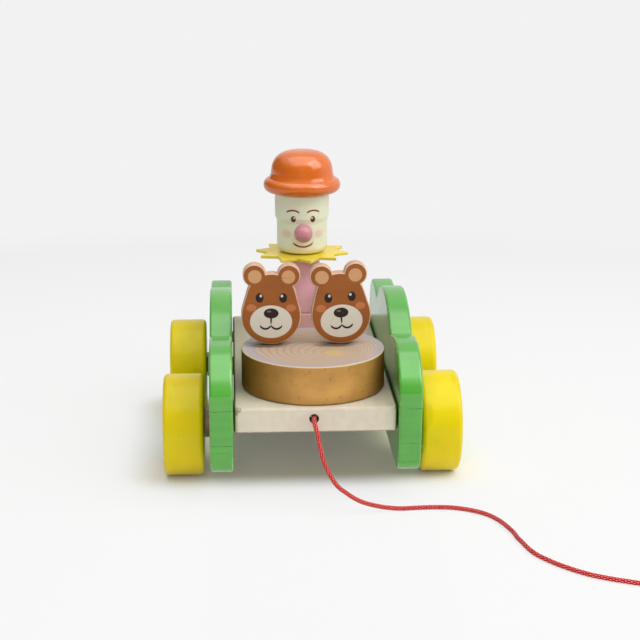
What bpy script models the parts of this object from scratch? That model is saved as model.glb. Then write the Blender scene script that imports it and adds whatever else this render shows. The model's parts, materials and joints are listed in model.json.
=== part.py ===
"""Wooden pull-along toy car: two bear heads on rocking arms tap a stump in front of a turned figure.

Run with blender --background --python part.py, or from the text editor.
Units are metres and +Z is up. The nose of the car points to -Y and X runs across it.
The origin lies on the floor under the middle of the car.
"""

import math

import bmesh
import bpy
import numpy as np
from mathutils import Matrix, Vector

# Fits
FIT_GAP = 0.0003  # between pieces that are glued or rest on each other
RUN_GAP = 0.0004  # round a piece that turns, measured on the radius

# Wheels and axles
WHEEL_DIAMETER = 0.0500
WHEEL_WIDTH = 0.0196
WHEEL_EDGE_RADIUS = 0.0022
AXLE_DIAMETER = 0.0080
AXLE_END_INSET = 0.0006  # end of the dowel below the outer face of the wheel
WHEELBASE = 0.1009
FRONT_OVERHANG = 0.0440  # front of the deck ahead of the front axle
REAR_OVERHANG = 0.0207
SPACER_DIAMETER = 0.0132
SPACER_THICKNESS = 0.0027
SPACER_EDGE_RADIUS = 0.0004

# Deck
DECK_WIDTH = 0.0766
DECK_THICKNESS = 0.0120
DECK_ABOVE_AXLE = 0.0100  # underside of the deck above the middle of the axle
DECK_EDGE_RADIUS = 0.0010
DECK_CORNER_RADIUS = 0.0020
DOWEL_DIAMETER = 0.0060
DOWEL_IN_DECK = 0.0120
DOWEL_IN_PANEL = 0.0075
DOWEL_FROM_END = 0.0220  # outer dowels from the ends of the deck

# Side panels
PANEL_THICKNESS = 0.0110
PANEL_EDGE_RADIUS = 0.0014
PANEL_BELOW_AXLE = 0.0110
PANEL_LENGTH = 0.1574  # over the straight lower ends
PANEL_AHEAD = 0.0058  # middle of the panels ahead of the middle of the deck
PANEL_FOOT_RADIUS = 0.0090
LOWER_LOBE_RISE = 0.0005
FRONT_SHOULDER_RADIUS = 0.0267
REAR_SHOULDER_RADIUS = 0.0180
SHOULDER_PAST_END = 0.0038  # foremost point, the crease under the shoulder, past the lower end
SHOULDER_ABOVE_AXLE = 0.0482
CREASE_ABOVE_AXLE = 0.0300
BROW_RISE = 0.0008
NOTCH_ABOVE_AXLE = 0.0452
FRONT_NOTCH_REACH = 0.0335  # from the middle of the panel
REAR_NOTCH_REACH = 0.0395
CENTRE_LOBE_RISE = 0.0133

# Stump and its screws
STUMP_DIAMETER = 0.0694
STUMP_HEIGHT = 0.0187
STUMP_EDGE_RADIUS = 0.0008
STUMP_SETBACK = 0.0026  # edge of the stump behind the front of the deck
STUMP_OFFSET = 0.0005  # fixed a little to the right of the middle
SCREW_SPACING = 0.0360
SCREW_DIAMETER = 0.0035
SCREW_HEAD_DIAMETER = 0.0070
SCREW_HEAD_DEPTH = 0.0022
SCREW_IN_STUMP = 0.0110
SCREW_POINT = 0.0030

# Figure
SPINDLE_DIAMETER = 0.0080
FOOT_DIAMETER = 0.0260
FOOT_HEIGHT = 0.0094
FOOT_EDGE_RADIUS = 0.0010
BODY_HEIGHT = 0.0303
BODY_HEM_RADIUS = 0.0126
BODY_NECK_RADIUS = 0.0095
COLLAR_THICKNESS = 0.0015
COLLAR_POINTS = 10
COLLAR_TIP_RADIUS = 0.0256
COLLAR_NOTCH_RADIUS = 0.0186
COLLAR_TURN = -10.0  # degrees on the spindle, from a notch at the front
HEAD_HEIGHT = 0.0324
HEAD_JAW_RADIUS = 0.0136
HEAD_JAW_HEIGHT = 0.0170
HEAD_BROW_RADIUS = 0.0147
HEAD_STEP = 0.0030  # height over which the jaw widens to the brow
HEAD_CHIN_RADIUS = 0.0040
NOSE_DIAMETER = 0.0100
NOSE_ABOVE_CHIN = 0.0134
NOSE_PEG_DIAMETER = 0.0040
NOSE_PEG_LENGTH = 0.0050
BRIM_DIAMETER = 0.0417
BRIM_ROLL_RADIUS = 0.0039
CROWN_DIAMETER = 0.0336
CROWN_TOP_RADIUS = 0.0100
HAT_HEIGHT = 0.0226
HAT_BORE_DEPTH = 0.0120

# Arms, their pivot and the cams that kick them
ARM_SPACING = 0.0340  # between the middles of the two arms
ARM_THICKNESS = 0.0070
ARM_DEPTH = 0.0080
ARM_HUB_RADIUS = 0.0060
ARM_INNER_FILLET = 0.0040
ARM_EDGE_RADIUS = 0.0006
TAIL_WIDTH = 0.0070
TAIL_BELOW_AXLE = 0.0030  # middle of the rounded end of the tail
TENON_DEPTH = 0.0044
TENON_LENGTH = 0.0040
PIVOT_ABOVE_STUMP = 0.0053
PIVOT_PIN_DIAMETER = 0.0030
PIVOT_CAP_DIAMETER = 0.0070
PIVOT_CAP_LENGTH = 0.0035
PIVOT_CAP_BORE = 0.0022  # depth of the pin in its cap
LIFT_DEGREES = 8.0  # the heads rise this far from the stump
SLOT_GAP = 0.0012  # round the tail where it passes through the deck
SLOT_CORNER_RADIUS = 0.0023
CAM_THICKNESS = 0.0070
CAM_WAIST_RADIUS = 0.0064
CAM_EDGE_RADIUS = 0.0006
CAM_GAP = 0.0007  # between the turning cam, the deck and the tail

# Bear heads
BEAR_THICKNESS = 0.0065
BEAR_EDGE_RADIUS = 0.0007
BEAR_BEHIND_CENTRE = 0.0032  # face of the heads behind the middle of the stump
BEAR_SET_OVER = 0.0026  # heads are fixed this far to the left of their arms
BEAR_TILT_LEFT = 1.0  # degrees, clockwise seen from the front
BEAR_TILT_RIGHT = -4.0
JAW_RADIUS = 0.0145
CROWN_RADIUS = 0.0122
CROWN_ABOVE_JAW = 0.0088
EAR_RADIUS = 0.0056
EAR_REACH = 0.0138  # middle of the ear from the middle of the crown
EAR_ANGLE = 53.0

# Pull cord
CORD_DIAMETER = 0.0022
CORD_HOLE_DIAMETER = 0.0044
CORD_HOLE_OFFSET = -0.0008  # drilled a little to the left of the middle
CORD_HOLE_BELOW_TOP = 0.0052
KNOT_RECESS_DIAMETER = 0.0090
KNOT_RECESS_SETBACK = 0.0120  # middle of the recess behind the front of the deck
KNOT_RECESS_ROOF = 0.0018  # wood left above the recess
KNOT_WIDTH = 0.0052
KNOT_LENGTH = 0.0054
KNOT_WAIST = 0.12  # share by which a knot is drawn in between its two turns
KNOT_FULLNESS = 0.7  # below 1 the ends of a knot are blunter than a ball
CORD_STEP = 0.0070
CORD_LIFT = 0.0001  # cord above the floor
COIL_ASIDE = 0.1620  # middle of the coil to the right of the cord hole
COIL_AHEAD = 0.0876  # middle of the coil ahead of the deck
COIL_RUN_UP = 0.0070  # each of the two last steps of the free cord, in line with the coil's start
COIL_START_RADIUS = 0.0158
COIL_LOOP_STEP = 0.0031
COIL_LAYER_STEP = 0.0029
COIL_TURNS_IN = 2.25
COIL_TURNS_CLIMB = 0.50
COIL_TURNS_OUT = 1.80
COIL_POINTS_PER_TURN = 20
TIE_THICKNESS = 0.0006
TIE_WIDTH = 0.0050
TIE_GAP = 0.0004
TIE_ANGLE = 0.0  # degrees round the coil
LEAST_LOOP_GAP = 0.0004

# Facets
WHEEL_SIDES = 40
STUMP_SIDES = 48
FIGURE_SIDES = 32
CAM_SIDES = 32
PIN_SIDES = 20
SMALL_SIDES = 14
ROUND_STEPS = 2
SHARP_DEGREES = 38.0

# Places that follow from the sizes
AXLE_Z = WHEEL_DIAMETER / 2
DECK_LENGTH = FRONT_OVERHANG + WHEELBASE + REAR_OVERHANG
DECK_BEHIND_AXLE = DECK_LENGTH / 2 - FRONT_OVERHANG  # middle of the deck behind the front axle
PANEL_REACH = PANEL_LENGTH / 2 + SHOULDER_PAST_END + PANEL_AHEAD - DECK_BEHIND_AXLE
FRONT_REACH = max(PANEL_REACH, FRONT_OVERHANG, WHEEL_DIAMETER / 2)
BACK_REACH = max(REAR_OVERHANG, WHEEL_DIAMETER / 2)
FRONT_AXLE_Y = (FRONT_REACH - WHEELBASE - BACK_REACH) / 2
REAR_AXLE_Y = FRONT_AXLE_Y + WHEELBASE
DECK_Y = FRONT_AXLE_Y + DECK_BEHIND_AXLE
DECK_FRONT = DECK_Y - DECK_LENGTH / 2
PANEL_Y = DECK_Y - PANEL_AHEAD
DECK_BOTTOM = AXLE_Z + DECK_ABOVE_AXLE
DECK_TOP = DECK_BOTTOM + DECK_THICKNESS
DECK_MIDDLE = DECK_BOTTOM + DECK_THICKNESS / 2
PANEL_INNER = DECK_WIDTH / 2 + FIT_GAP
PANEL_OUTER = PANEL_INNER + PANEL_THICKNESS
SPACER_INNER = PANEL_OUTER + FIT_GAP
WHEEL_INNER = SPACER_INNER + SPACER_THICKNESS + FIT_GAP
WHEEL_OUTER = WHEEL_INNER + WHEEL_WIDTH
STUMP_Y = DECK_FRONT + STUMP_SETBACK + STUMP_DIAMETER / 2
STUMP_BOTTOM = DECK_TOP + FIT_GAP
STUMP_TOP = STUMP_BOTTOM + STUMP_HEIGHT
FIGURE_Y = REAR_AXLE_Y
FOOT_BOTTOM = DECK_TOP + FIT_GAP
BODY_BOTTOM = FOOT_BOTTOM + FOOT_HEIGHT + FIT_GAP
COLLAR_BOTTOM = BODY_BOTTOM + BODY_HEIGHT + FIT_GAP
HEAD_BOTTOM = COLLAR_BOTTOM + COLLAR_THICKNESS + FIT_GAP
HAT_BOTTOM = HEAD_BOTTOM + HEAD_HEIGHT + FIT_GAP
SPINDLE_BORE = SPINDLE_DIAMETER / 2 + FIT_GAP
PIVOT_Z = STUMP_TOP + PIVOT_ABOVE_STUMP
ARM_X = ARM_SPACING / 2
BEAR_FRONT = STUMP_Y + BEAR_BEHIND_CENTRE
BEAR_BACK = BEAR_FRONT + BEAR_THICKNESS
CHIN_Z = STUMP_TOP + FIT_GAP
CAM_LOBE_RADIUS = DECK_ABOVE_AXLE - CAM_GAP
CORD_HOLE_Z = DECK_TOP - CORD_HOLE_BELOW_TOP
KNOT_Y = DECK_FRONT + KNOT_RECESS_SETBACK
CORD_LIE = CORD_DIAMETER / 2 + CORD_LIFT
COIL_X = CORD_HOLE_OFFSET + COIL_ASIDE
COIL_Y = DECK_FRONT - COIL_AHEAD
COIL_FLOOR = CORD_LIE + TIE_THICKNESS + TIE_GAP  # the lower layer lies on the tie
COIL_INNER_RADIUS = COIL_START_RADIUS - COIL_LOOP_STEP * COIL_TURNS_IN

# Turns that lay a flat outline or a turned piece the right way round
ACROSS = (0.0, math.pi / 2, 0.0)  # turned pieces whose axis is X
FROM_SIDE = (math.pi / 2, 0.0, math.pi / 2)  # outline in Y and Z, thickness in X
FROM_FRONT = (math.pi / 2, 0.0, 0.0)  # outline in X and Z, thickness in Y

SIDES = (("left", -1), ("right", 1))


def clear_scene():
    """Remove every object of the scene."""
    for old in list(bpy.data.objects):
        bpy.data.objects.remove(old, do_unlink=True)


# Materials


def linear(channel):
    """One sRGB channel from 0 to 255 as a linear value."""
    share = channel / 255
    if share <= 0.04045:
        return share / 12.92
    return ((share + 0.055) / 1.055) ** 2.4


def finish(name, red, green, blue, roughness, metallic=0.0):
    """A Principled material from an sRGB colour."""
    material = bpy.data.materials.new(name)
    material.use_nodes = True
    shader = material.node_tree.nodes["Principled BSDF"]
    shader.inputs["Base Color"].default_value = (linear(red), linear(green), linear(blue), 1.0)
    shader.inputs["Roughness"].default_value = roughness
    shader.inputs["Metallic"].default_value = metallic
    return material


def make_finishes():
    """Every finish of the toy by name."""
    return {
        "green_paint": finish("green_paint", 80, 165, 66, 0.40),
        "yellow_paint": finish("yellow_paint", 222, 203, 24, 0.38),
        "orange_paint": finish("orange_paint", 214, 96, 32, 0.30),
        "pink_paint": finish("pink_paint", 220, 160, 163, 0.42),
        "pale_pink_paint": finish("pale_pink_paint", 226, 180, 182, 0.45),
        "cream_paint": finish("cream_paint", 228, 229, 205, 0.42),
        "brown_paint": finish("brown_paint", 150, 86, 34, 0.50),
        "yellow_foam": finish("yellow_foam", 240, 212, 40, 0.85),
        "limewash": finish("limewash", 212, 198, 180, 0.62),
        "bark_print": finish("bark_print", 180, 136, 74, 0.50),
        "raw_wood": finish("raw_wood", 214, 186, 146, 0.65),
        "steel": finish("steel", 176, 178, 180, 0.32, 1.0),
        "red_cord": finish("red_cord", 206, 70, 68, 0.80),
        "paper_tie": finish("paper_tie", 238, 236, 230, 0.70),
    }


# Outlines


def arc(centre, radius, start, end, steps):
    """Points on a circle from start to end, in degrees, both ends included."""
    angles = np.radians(np.linspace(start, end, steps + 1))
    return [(centre[0] + radius * math.cos(a), centre[1] + radius * math.sin(a)) for a in angles]


def bulge(start, end, rise, steps):
    """Points on the arc from start to end that swells by rise to the right of the way it goes."""
    a, b = Vector(start), Vector(end)
    along = (b - a).normalized()
    outward = Vector((along.y, -along.x))
    half = (b - a).length / 2
    radius = (half * half + rise * rise) / (2 * rise)
    centre = (a + b) / 2 - outward * (radius - rise)
    reach = math.atan2(half, radius - rise)
    points = []
    for angle in np.linspace(-reach, reach, steps + 1):
        point = centre + radius * (outward * math.cos(angle) + along * math.sin(angle))
        points.append((point.x, point.y))
    return points


def rounded(corners, closed=True, steps=ROUND_STEPS):
    """An outline from corners (x, y, radius), each radius an arc of that many chords."""
    points = []
    for i, (x, y, radius) in enumerate(corners):
        here = Vector((x, y))
        if radius == 0 or (not closed and i in (0, len(corners) - 1)):
            points.append((x, y))
            continue
        back = (Vector(corners[i - 1][:2]) - here).normalized()
        ahead = (Vector(corners[(i + 1) % len(corners)][:2]) - here).normalized()
        half = back.angle(ahead) / 2
        centre = here + (back + ahead).normalized() * radius / math.sin(half)
        first = here + back * radius / math.tan(half) - centre
        last = here + ahead * radius / math.tan(half) - centre
        start = math.atan2(first.y, first.x)
        sweep = (math.atan2(last.y, last.x) - start + math.pi) % (2 * math.pi) - math.pi
        points += arc(centre, radius, math.degrees(start), math.degrees(start + sweep), steps)
    return points


def box_outline(width, depth, radius=0.0):
    """A rectangle round the origin with rounded corners."""
    x, y = width / 2, depth / 2
    return rounded([(-x, -y, radius), (x, -y, radius), (x, y, radius), (-x, y, radius)])


def panel_end(notch_reach, radius):
    """Front end of a side board as points in Y, from its middle, and Z: brow, shoulder and foot."""
    foot_end = PANEL_LENGTH / 2
    bottom = AXLE_Z - PANEL_BELOW_AXLE
    notch = (-notch_reach, AXLE_Z + NOTCH_ABOVE_AXLE)
    shoulder_z = AXLE_Z + SHOULDER_ABOVE_AXLE - radius
    slope = math.asin((AXLE_Z + CREASE_ABOVE_AXLE - shoulder_z) / radius)
    shoulder_y = -foot_end - SHOULDER_PAST_END + radius * math.cos(slope)
    shoulder = arc((shoulder_y, shoulder_z), radius, 90, 180 - math.degrees(slope), 10)
    brow = bulge(notch, shoulder[0], BROW_RISE, 5)
    foot = (-foot_end + PANEL_FOOT_RADIUS, bottom + PANEL_FOOT_RADIUS)
    corner = arc(foot, PANEL_FOOT_RADIUS, 180, 270, 4)
    lower_lobe = bulge(shoulder[-1], corner[0], LOWER_LOBE_RISE, 4)
    return brow[:-1] + shoulder[:-1] + lower_lobe[:-1] + corner


def panel_outline():
    """Scalloped side board: its front end, its rear end, tighter in the shoulder, and a centre lobe."""
    front = panel_end(FRONT_NOTCH_REACH, FRONT_SHOULDER_RADIUS)
    rear = panel_end(REAR_NOTCH_REACH, REAR_SHOULDER_RADIUS)
    back = [(-y, z) for y, z in reversed(rear)]
    crest = bulge(back[-1], front[0], CENTRE_LOBE_RISE, 16)
    return front + back + crest[1:-1]


def bear_outline():
    """Round-eared bear head as points in X and Z round the middle of the jaw."""
    crown = (0.0, CROWN_ABOVE_JAW)
    lean = math.degrees(math.asin((JAW_RADIUS - CROWN_RADIUS) / CROWN_ABOVE_JAW))
    reach, ear = EAR_REACH, EAR_RADIUS
    on_crown = (reach**2 + CROWN_RADIUS**2 - ear**2) / (2 * reach * CROWN_RADIUS)
    on_ear = (reach**2 + ear**2 - CROWN_RADIUS**2) / (2 * reach * ear)
    spread = math.degrees(math.acos(on_crown))
    open_to = 180 - math.degrees(math.acos(on_ear))
    side = math.radians(EAR_ANGLE)
    ear_at = (reach * math.cos(side), CROWN_ABOVE_JAW + reach * math.sin(side))
    jaw = arc((0.0, 0.0), JAW_RADIUS, -90, lean, 11)
    cheek = arc(crown, CROWN_RADIUS, lean, EAR_ANGLE - spread, 3)
    right_ear = arc(ear_at, ear, EAR_ANGLE - open_to, EAR_ANGLE + open_to, 12)
    top = arc(crown, CROWN_RADIUS, EAR_ANGLE + spread, 90, 2)
    right = jaw + cheek[:-1] + right_ear + top[1:]
    left = [(-x, z) for x, z in reversed(right[1:-1])]
    return right + left


def star_outline():
    """Pointed collar as points in X and Y."""
    points = []
    for k in range(2 * COLLAR_POINTS):
        radius = COLLAR_NOTCH_RADIUS if k % 2 == 0 else COLLAR_TIP_RADIUS
        angle = math.radians(COLLAR_TURN - 90) + math.pi * k / COLLAR_POINTS
        points.append((radius * math.cos(angle), radius * math.sin(angle)))
    return points


def tail_line():
    """Unit direction and length of the tail, from the pivot to the middle of its rounded end."""
    half = TAIL_WIDTH / 2
    drop = PIVOT_Z - AXLE_Z + TAIL_BELOW_AXLE
    # The tail's back edge keeps clear of the cam that turns behind it.
    to_axle = Vector((REAR_AXLE_Y - FIGURE_Y, AXLE_Z - PIVOT_Z))
    keep_off = CAM_LOBE_RADIUS + CAM_GAP + half
    lean = math.atan2(to_axle.x, -to_axle.y) - math.asin(keep_off / to_axle.length)
    along = Vector((math.sin(lean), -math.cos(lean)))
    return along, drop / math.cos(lean)


def arm_outline():
    """Bell crank as points in Y and Z round its pivot: bar, tenon, hub and tail."""
    half_bar, half_tail, half_tenon = ARM_DEPTH / 2, TAIL_WIDTH / 2, TENON_DEPTH / 2
    front = BEAR_BACK + FIT_GAP - FIGURE_Y
    tip = front - TENON_LENGTH
    along, length = tail_line()
    behind = Vector((-along.y, along.x))
    hub_start = 180 - math.degrees(math.asin(half_bar / ARM_HUB_RADIUS))
    leave = behind * half_tail + along * math.sqrt(ARM_HUB_RADIUS**2 - half_tail**2)
    hub_end = math.degrees(math.atan2(leave.y, leave.x))
    hub = arc((0.0, 0.0), ARM_HUB_RADIUS, hub_start, hub_end, 14)
    heel = math.degrees(math.atan2(behind.y, behind.x))
    end = along * length
    toe = arc((end.x, end.y), half_tail, heel, heel - 180, 8)
    # The front edge of the tail runs up to the underside of the bar.
    climb = (-half_bar + behind.y * half_tail) / along.y
    inner = along * climb - behind * half_tail
    fillet = rounded(
        [(*toe[-1], 0), (inner.x, inner.y, ARM_INNER_FILLET), (front, -half_bar, 0)],
        closed=False,
        steps=4,
    )[1:-1]
    nose = [
        (front, -half_bar),
        (front, -half_tenon),
        (tip, -half_tenon),
        (tip, half_tenon),
        (front, half_tenon),
        (front, half_bar),
    ]
    return list(reversed(nose + hub + toe + fillet))


def slot_reach():
    """Lowest and highest Y that the tail takes up inside the deck, from rest to full lift."""
    reached = []
    for lift in (0.0, LIFT_DEGREES):
        along = Matrix.Rotation(-math.radians(lift), 2) @ tail_line()[0]
        behind = Vector((-along.y, along.x))
        for edge in (-TAIL_WIDTH / 2, TAIL_WIDTH / 2):
            for z in (DECK_BOTTOM - PIVOT_Z, DECK_TOP - PIVOT_Z):
                offset = behind * edge
                reached.append(FIGURE_Y + offset.x + along.x * (z - offset.y) / along.y)
    return min(reached), max(reached)


# Meshes


def to_mesh(bm, name, material):
    """Close the edit mesh into a mesh with smooth rounds and sharp edges."""
    bmesh.ops.recalc_face_normals(bm, faces=bm.faces)
    mesh = bpy.data.meshes.new(name)
    bm.to_mesh(mesh)
    bm.free()
    mesh.shade_smooth()
    mesh.set_sharp_from_angle(angle=math.radians(SHARP_DEGREES))
    if material:
        mesh.materials.append(material)
    return mesh


def prism(name, outline, thickness, material=None, edge_radius=0.0):
    """A board of an outline in x and y, centred on z = 0, its rim rounded by edge_radius."""
    bm = bmesh.new()
    face = bm.faces.new([bm.verts.new((x, y, -thickness / 2)) for x, y in outline])
    grown = bmesh.ops.extrude_face_region(bm, geom=[face])["geom"]
    top = [item for item in grown if isinstance(item, bmesh.types.BMVert)]
    bmesh.ops.translate(bm, verts=top, vec=(0, 0, thickness))
    if edge_radius:
        rim = [e for e in bm.edges if e.verts[0].co.z == e.verts[1].co.z]
        bmesh.ops.bevel(
            bm,
            geom=rim,
            offset=edge_radius,
            offset_type="OFFSET",
            segments=ROUND_STEPS,
            profile=0.5,
            affect="EDGES",
        )
    return to_mesh(bm, name, material)


def turned(name, profile, sides, material=None, ring=False):
    """A piece turned about z from (radius, z) points; a ring's profile closes on itself."""
    bm = bmesh.new()
    verts = [bm.verts.new((radius, 0, z)) for radius, z in profile]
    ends = verts[1:] + verts[:1] if ring else verts[1:]
    edges = [bm.edges.new(pair) for pair in zip(verts, ends)]
    bmesh.ops.spin(
        bm,
        geom=verts + edges,
        cent=(0, 0, 0),
        axis=(0, 0, 1),
        angle=2 * math.pi,
        steps=sides,
        use_merge=True,
    )
    bmesh.ops.remove_doubles(bm, verts=bm.verts, dist=1e-6)
    return to_mesh(bm, name, material)


def rod_profile(diameter, length, edge=0.0):
    """Profile of a plain round rod that stands on z = 0."""
    radius = diameter / 2
    return rounded([(0, 0, 0), (radius, 0, edge), (radius, length, edge), (0, length, 0)], False)


def ring_profile(bore, radius, height, edge=0.0):
    """Profile of a round piece with a hole through it, standing on z = 0."""
    return rounded([(bore, 0, 0), (radius, 0, edge), (radius, height, edge), (bore, height, 0)])


# Objects


def add(name, mesh, at=(0, 0, 0), turn=(0, 0, 0), on=None):
    """Link an object at a place in the world, parented to an empty if one is given."""
    piece = bpy.data.objects.new(name, mesh)
    bpy.context.scene.collection.objects.link(piece)
    piece.rotation_euler = turn
    piece.location = Vector(at)
    if on:
        piece.parent = on
        piece.location -= on.location
    return piece


def pivot(name, at):
    """An empty on a joint's axis."""
    return add(name, None, at)


def cut(piece, name, mesh, at, turn=(0, 0, 0)):
    """Take the shape of a hidden cutter out of a piece."""
    tool = add(f"{piece.name}_{name}_cutter", mesh, at, turn)
    tool.hide_render = True
    tool.display_type = "WIRE"
    step = piece.modifiers.new(name, "BOOLEAN")
    step.operation = "DIFFERENCE"
    step.solver = "EXACT"
    step.object = tool


def drill(piece, name, diameter, at, length, turn=(0, 0, 0), sides=PIN_SIDES):
    """Drill a round hole of that length, which starts at a point and runs along the turned z."""
    cut(piece, name, turned(f"{piece.name}_{name}", rod_profile(diameter, length), sides), at, turn)


# Sub-parts


def dowel_places():
    """Y of each dowel between deck and panel."""
    outer = DECK_LENGTH / 2 - DOWEL_FROM_END
    return (DECK_Y - outer, DECK_Y, DECK_Y + outer)


def make_deck(finishes):
    """Board with its dowel, screw, spindle and cord holes and the slots for the tails."""
    outline = box_outline(DECK_WIDTH, DECK_LENGTH, DECK_CORNER_RADIUS)
    mesh = prism("deck", outline, DECK_THICKNESS, finishes["limewash"], DECK_EDGE_RADIUS)
    deck = add("deck", mesh, (0, DECK_Y, DECK_MIDDLE))
    hole = DOWEL_DIAMETER + 2 * FIT_GAP
    depth = DOWEL_IN_DECK + FIT_GAP
    for side, sign in SIDES:
        for i, y in enumerate(dowel_places()):
            start = sign * DECK_WIDTH / 2 - (depth if sign > 0 else DECK_EDGE_RADIUS)
            at = (start, y, DECK_MIDDLE)
            drill(deck, f"dowel_{side}_{i}", hole, at, depth + DECK_EDGE_RADIUS, ACROSS, SMALL_SIDES)
        at = (STUMP_OFFSET + sign * SCREW_SPACING / 2, STUMP_Y, DECK_BOTTOM)
        cut(deck, f"screw_{side}", screw_mesh("screw_hole", FIT_GAP), at)
        near, far = slot_reach()
        width, depth_y = ARM_THICKNESS + 2 * SLOT_GAP, far - near + 2 * SLOT_GAP
        slot = box_outline(width, depth_y, SLOT_CORNER_RADIUS)
        at = (sign * ARM_X, (near + far) / 2, DECK_MIDDLE)
        cut(deck, f"slot_{side}", prism("slot", slot, 2 * DECK_THICKNESS), at)
    through = 2 * DECK_THICKNESS
    drill(deck, "spindle", 2 * SPINDLE_BORE, (0, FIGURE_Y, DECK_MIDDLE - DECK_THICKNESS), through)
    roof = DECK_TOP - KNOT_RECESS_ROOF
    at = (CORD_HOLE_OFFSET, KNOT_Y, DECK_BOTTOM - DECK_THICKNESS)
    drill(deck, "knot_recess", KNOT_RECESS_DIAMETER, at, roof - at[2])
    at = (CORD_HOLE_OFFSET, KNOT_Y, CORD_HOLE_Z)
    length = 2 * KNOT_RECESS_SETBACK
    drill(deck, "cord_hole", CORD_HOLE_DIAMETER, at, length, FROM_FRONT, SMALL_SIDES)


def make_panels(finishes):
    """Two scalloped side boards and the dowels that join them to the deck."""
    outline = panel_outline()
    length = DOWEL_IN_DECK + DOWEL_IN_PANEL
    dowel = turned("dowel", rod_profile(DOWEL_DIAMETER, length), SMALL_SIDES, finishes["raw_wood"])
    hole = DOWEL_DIAMETER + 2 * FIT_GAP
    axle_hole = AXLE_DIAMETER + 2 * RUN_GAP
    for side, sign in SIDES:
        name = f"side_panel_{side}"
        mesh = prism(name, outline, PANEL_THICKNESS, finishes["green_paint"], PANEL_EDGE_RADIUS)
        middle = sign * (PANEL_INNER + PANEL_THICKNESS / 2)
        panel = add(name, mesh, (middle, PANEL_Y, 0), FROM_SIDE)
        for end, y in (("front", FRONT_AXLE_Y), ("rear", REAR_AXLE_Y)):
            at = (middle - PANEL_THICKNESS, y, AXLE_Z)
            drill(panel, f"{end}_bore", axle_hole, at, 2 * PANEL_THICKNESS, ACROSS)
        inner = sign * PANEL_INNER
        depth = DOWEL_IN_PANEL + FIT_GAP
        for i, y in enumerate(dowel_places()):
            start = inner - PANEL_EDGE_RADIUS if sign > 0 else inner - depth
            drill(panel, f"dowel_{i}", hole, (start, y, DECK_MIDDLE), depth + PANEL_EDGE_RADIUS, ACROSS)
        first = DECK_WIDTH / 2 - DOWEL_IN_DECK
        start = first if sign > 0 else -first - length
        for place, y in zip(("front", "middle", "rear"), dowel_places()):
            add(f"panel_dowel_{side}_{place}", dowel, (start, y, DECK_MIDDLE), ACROSS)


def make_running_gear(finishes):
    """Axles that turn in the panels, with their spacers, wheels and the cams of the rear one."""
    bore = AXLE_DIAMETER / 2 + FIT_GAP
    profile = ring_profile(bore, WHEEL_DIAMETER / 2, WHEEL_WIDTH, WHEEL_EDGE_RADIUS)
    wheel = turned("wheel", profile, WHEEL_SIDES, finishes["yellow_paint"], ring=True)
    profile = ring_profile(bore, SPACER_DIAMETER / 2, SPACER_THICKNESS, SPACER_EDGE_RADIUS)
    spacer = turned("spacer", profile, PIN_SIDES, finishes["raw_wood"], ring=True)
    length = 2 * (WHEEL_OUTER - AXLE_END_INSET)
    axle = turned("axle", rod_profile(AXLE_DIAMETER, length), PIN_SIDES, finishes["raw_wood"])
    turning = {}
    for end, y in (("front", FRONT_AXLE_Y), ("rear", REAR_AXLE_Y)):
        turning[end] = pivot(f"{end}_axle_line", (0, y, AXLE_Z))
        add(f"{end}_axle", axle, (-length / 2, y, AXLE_Z), ACROSS, turning[end])
        for side, sign in SIDES:
            start = SPACER_INNER if sign > 0 else -SPACER_INNER - SPACER_THICKNESS
            add(f"spacer_{end}_{side}", spacer, (start, y, AXLE_Z), ACROSS, turning[end])
            start = WHEEL_INNER if sign > 0 else -WHEEL_OUTER
            add(f"wheel_{end}_{side}", wheel, (start, y, AXLE_Z), ACROSS, turning[end])
    make_cams(finishes, turning["rear"])


def make_cams(finishes, axle_line):
    """Oval kickers on the rear axle, a quarter turn apart."""
    for (side, sign), phase in zip(SIDES, (0.0, math.pi / 2)):
        outline = []
        for angle in np.linspace(0, 2 * math.pi, CAM_SIDES, endpoint=False):
            y, z = CAM_LOBE_RADIUS * math.cos(angle), CAM_WAIST_RADIUS * math.sin(angle)
            outline.append(
                (y * math.cos(phase) - z * math.sin(phase), y * math.sin(phase) + z * math.cos(phase))
            )
        name = f"cam_{side}"
        mesh = prism(name, outline, CAM_THICKNESS, finishes["raw_wood"], CAM_EDGE_RADIUS)
        at = (sign * ARM_X, REAR_AXLE_Y, AXLE_Z)
        cam = add(name, mesh, at, FROM_SIDE, axle_line)
        start = (at[0] - CAM_THICKNESS, REAR_AXLE_Y, AXLE_Z)
        drill(cam, "bore", AXLE_DIAMETER + 2 * FIT_GAP, start, 2 * CAM_THICKNESS, ACROSS)


def screw_mesh(name, grow=0.0, material=None):
    """Countersunk wood screw standing on its head; grow widens it all round into its hole."""
    head, shank = SCREW_HEAD_DIAMETER / 2 + grow, SCREW_DIAMETER / 2 + grow
    length = DECK_THICKNESS + FIT_GAP + SCREW_IN_STUMP + grow
    base = -grow if grow else FIT_GAP
    profile = [(0, base), (head, base), (head, FIT_GAP + grow)]
    profile += [(shank, SCREW_HEAD_DEPTH + grow), (shank, length - SCREW_POINT), (0, length)]
    return turned(name, profile, SMALL_SIDES, material)


def make_stump(finishes):
    """Round stump and the two screws that hold it from under the deck."""
    profile = rod_profile(STUMP_DIAMETER, STUMP_HEIGHT, STUMP_EDGE_RADIUS)
    mesh = turned("stump", profile, STUMP_SIDES, finishes["bark_print"])
    stump = add("stump", mesh, (STUMP_OFFSET, STUMP_Y, STUMP_BOTTOM))
    screw = screw_mesh("screw", material=finishes["steel"])
    for side, sign in SIDES:
        at = (STUMP_OFFSET + sign * SCREW_SPACING / 2, STUMP_Y, DECK_BOTTOM)
        cut(stump, f"screw_{side}", screw_mesh("screw_hole", FIT_GAP), at)
        add(f"stump_screw_{side}", screw, at)


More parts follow.
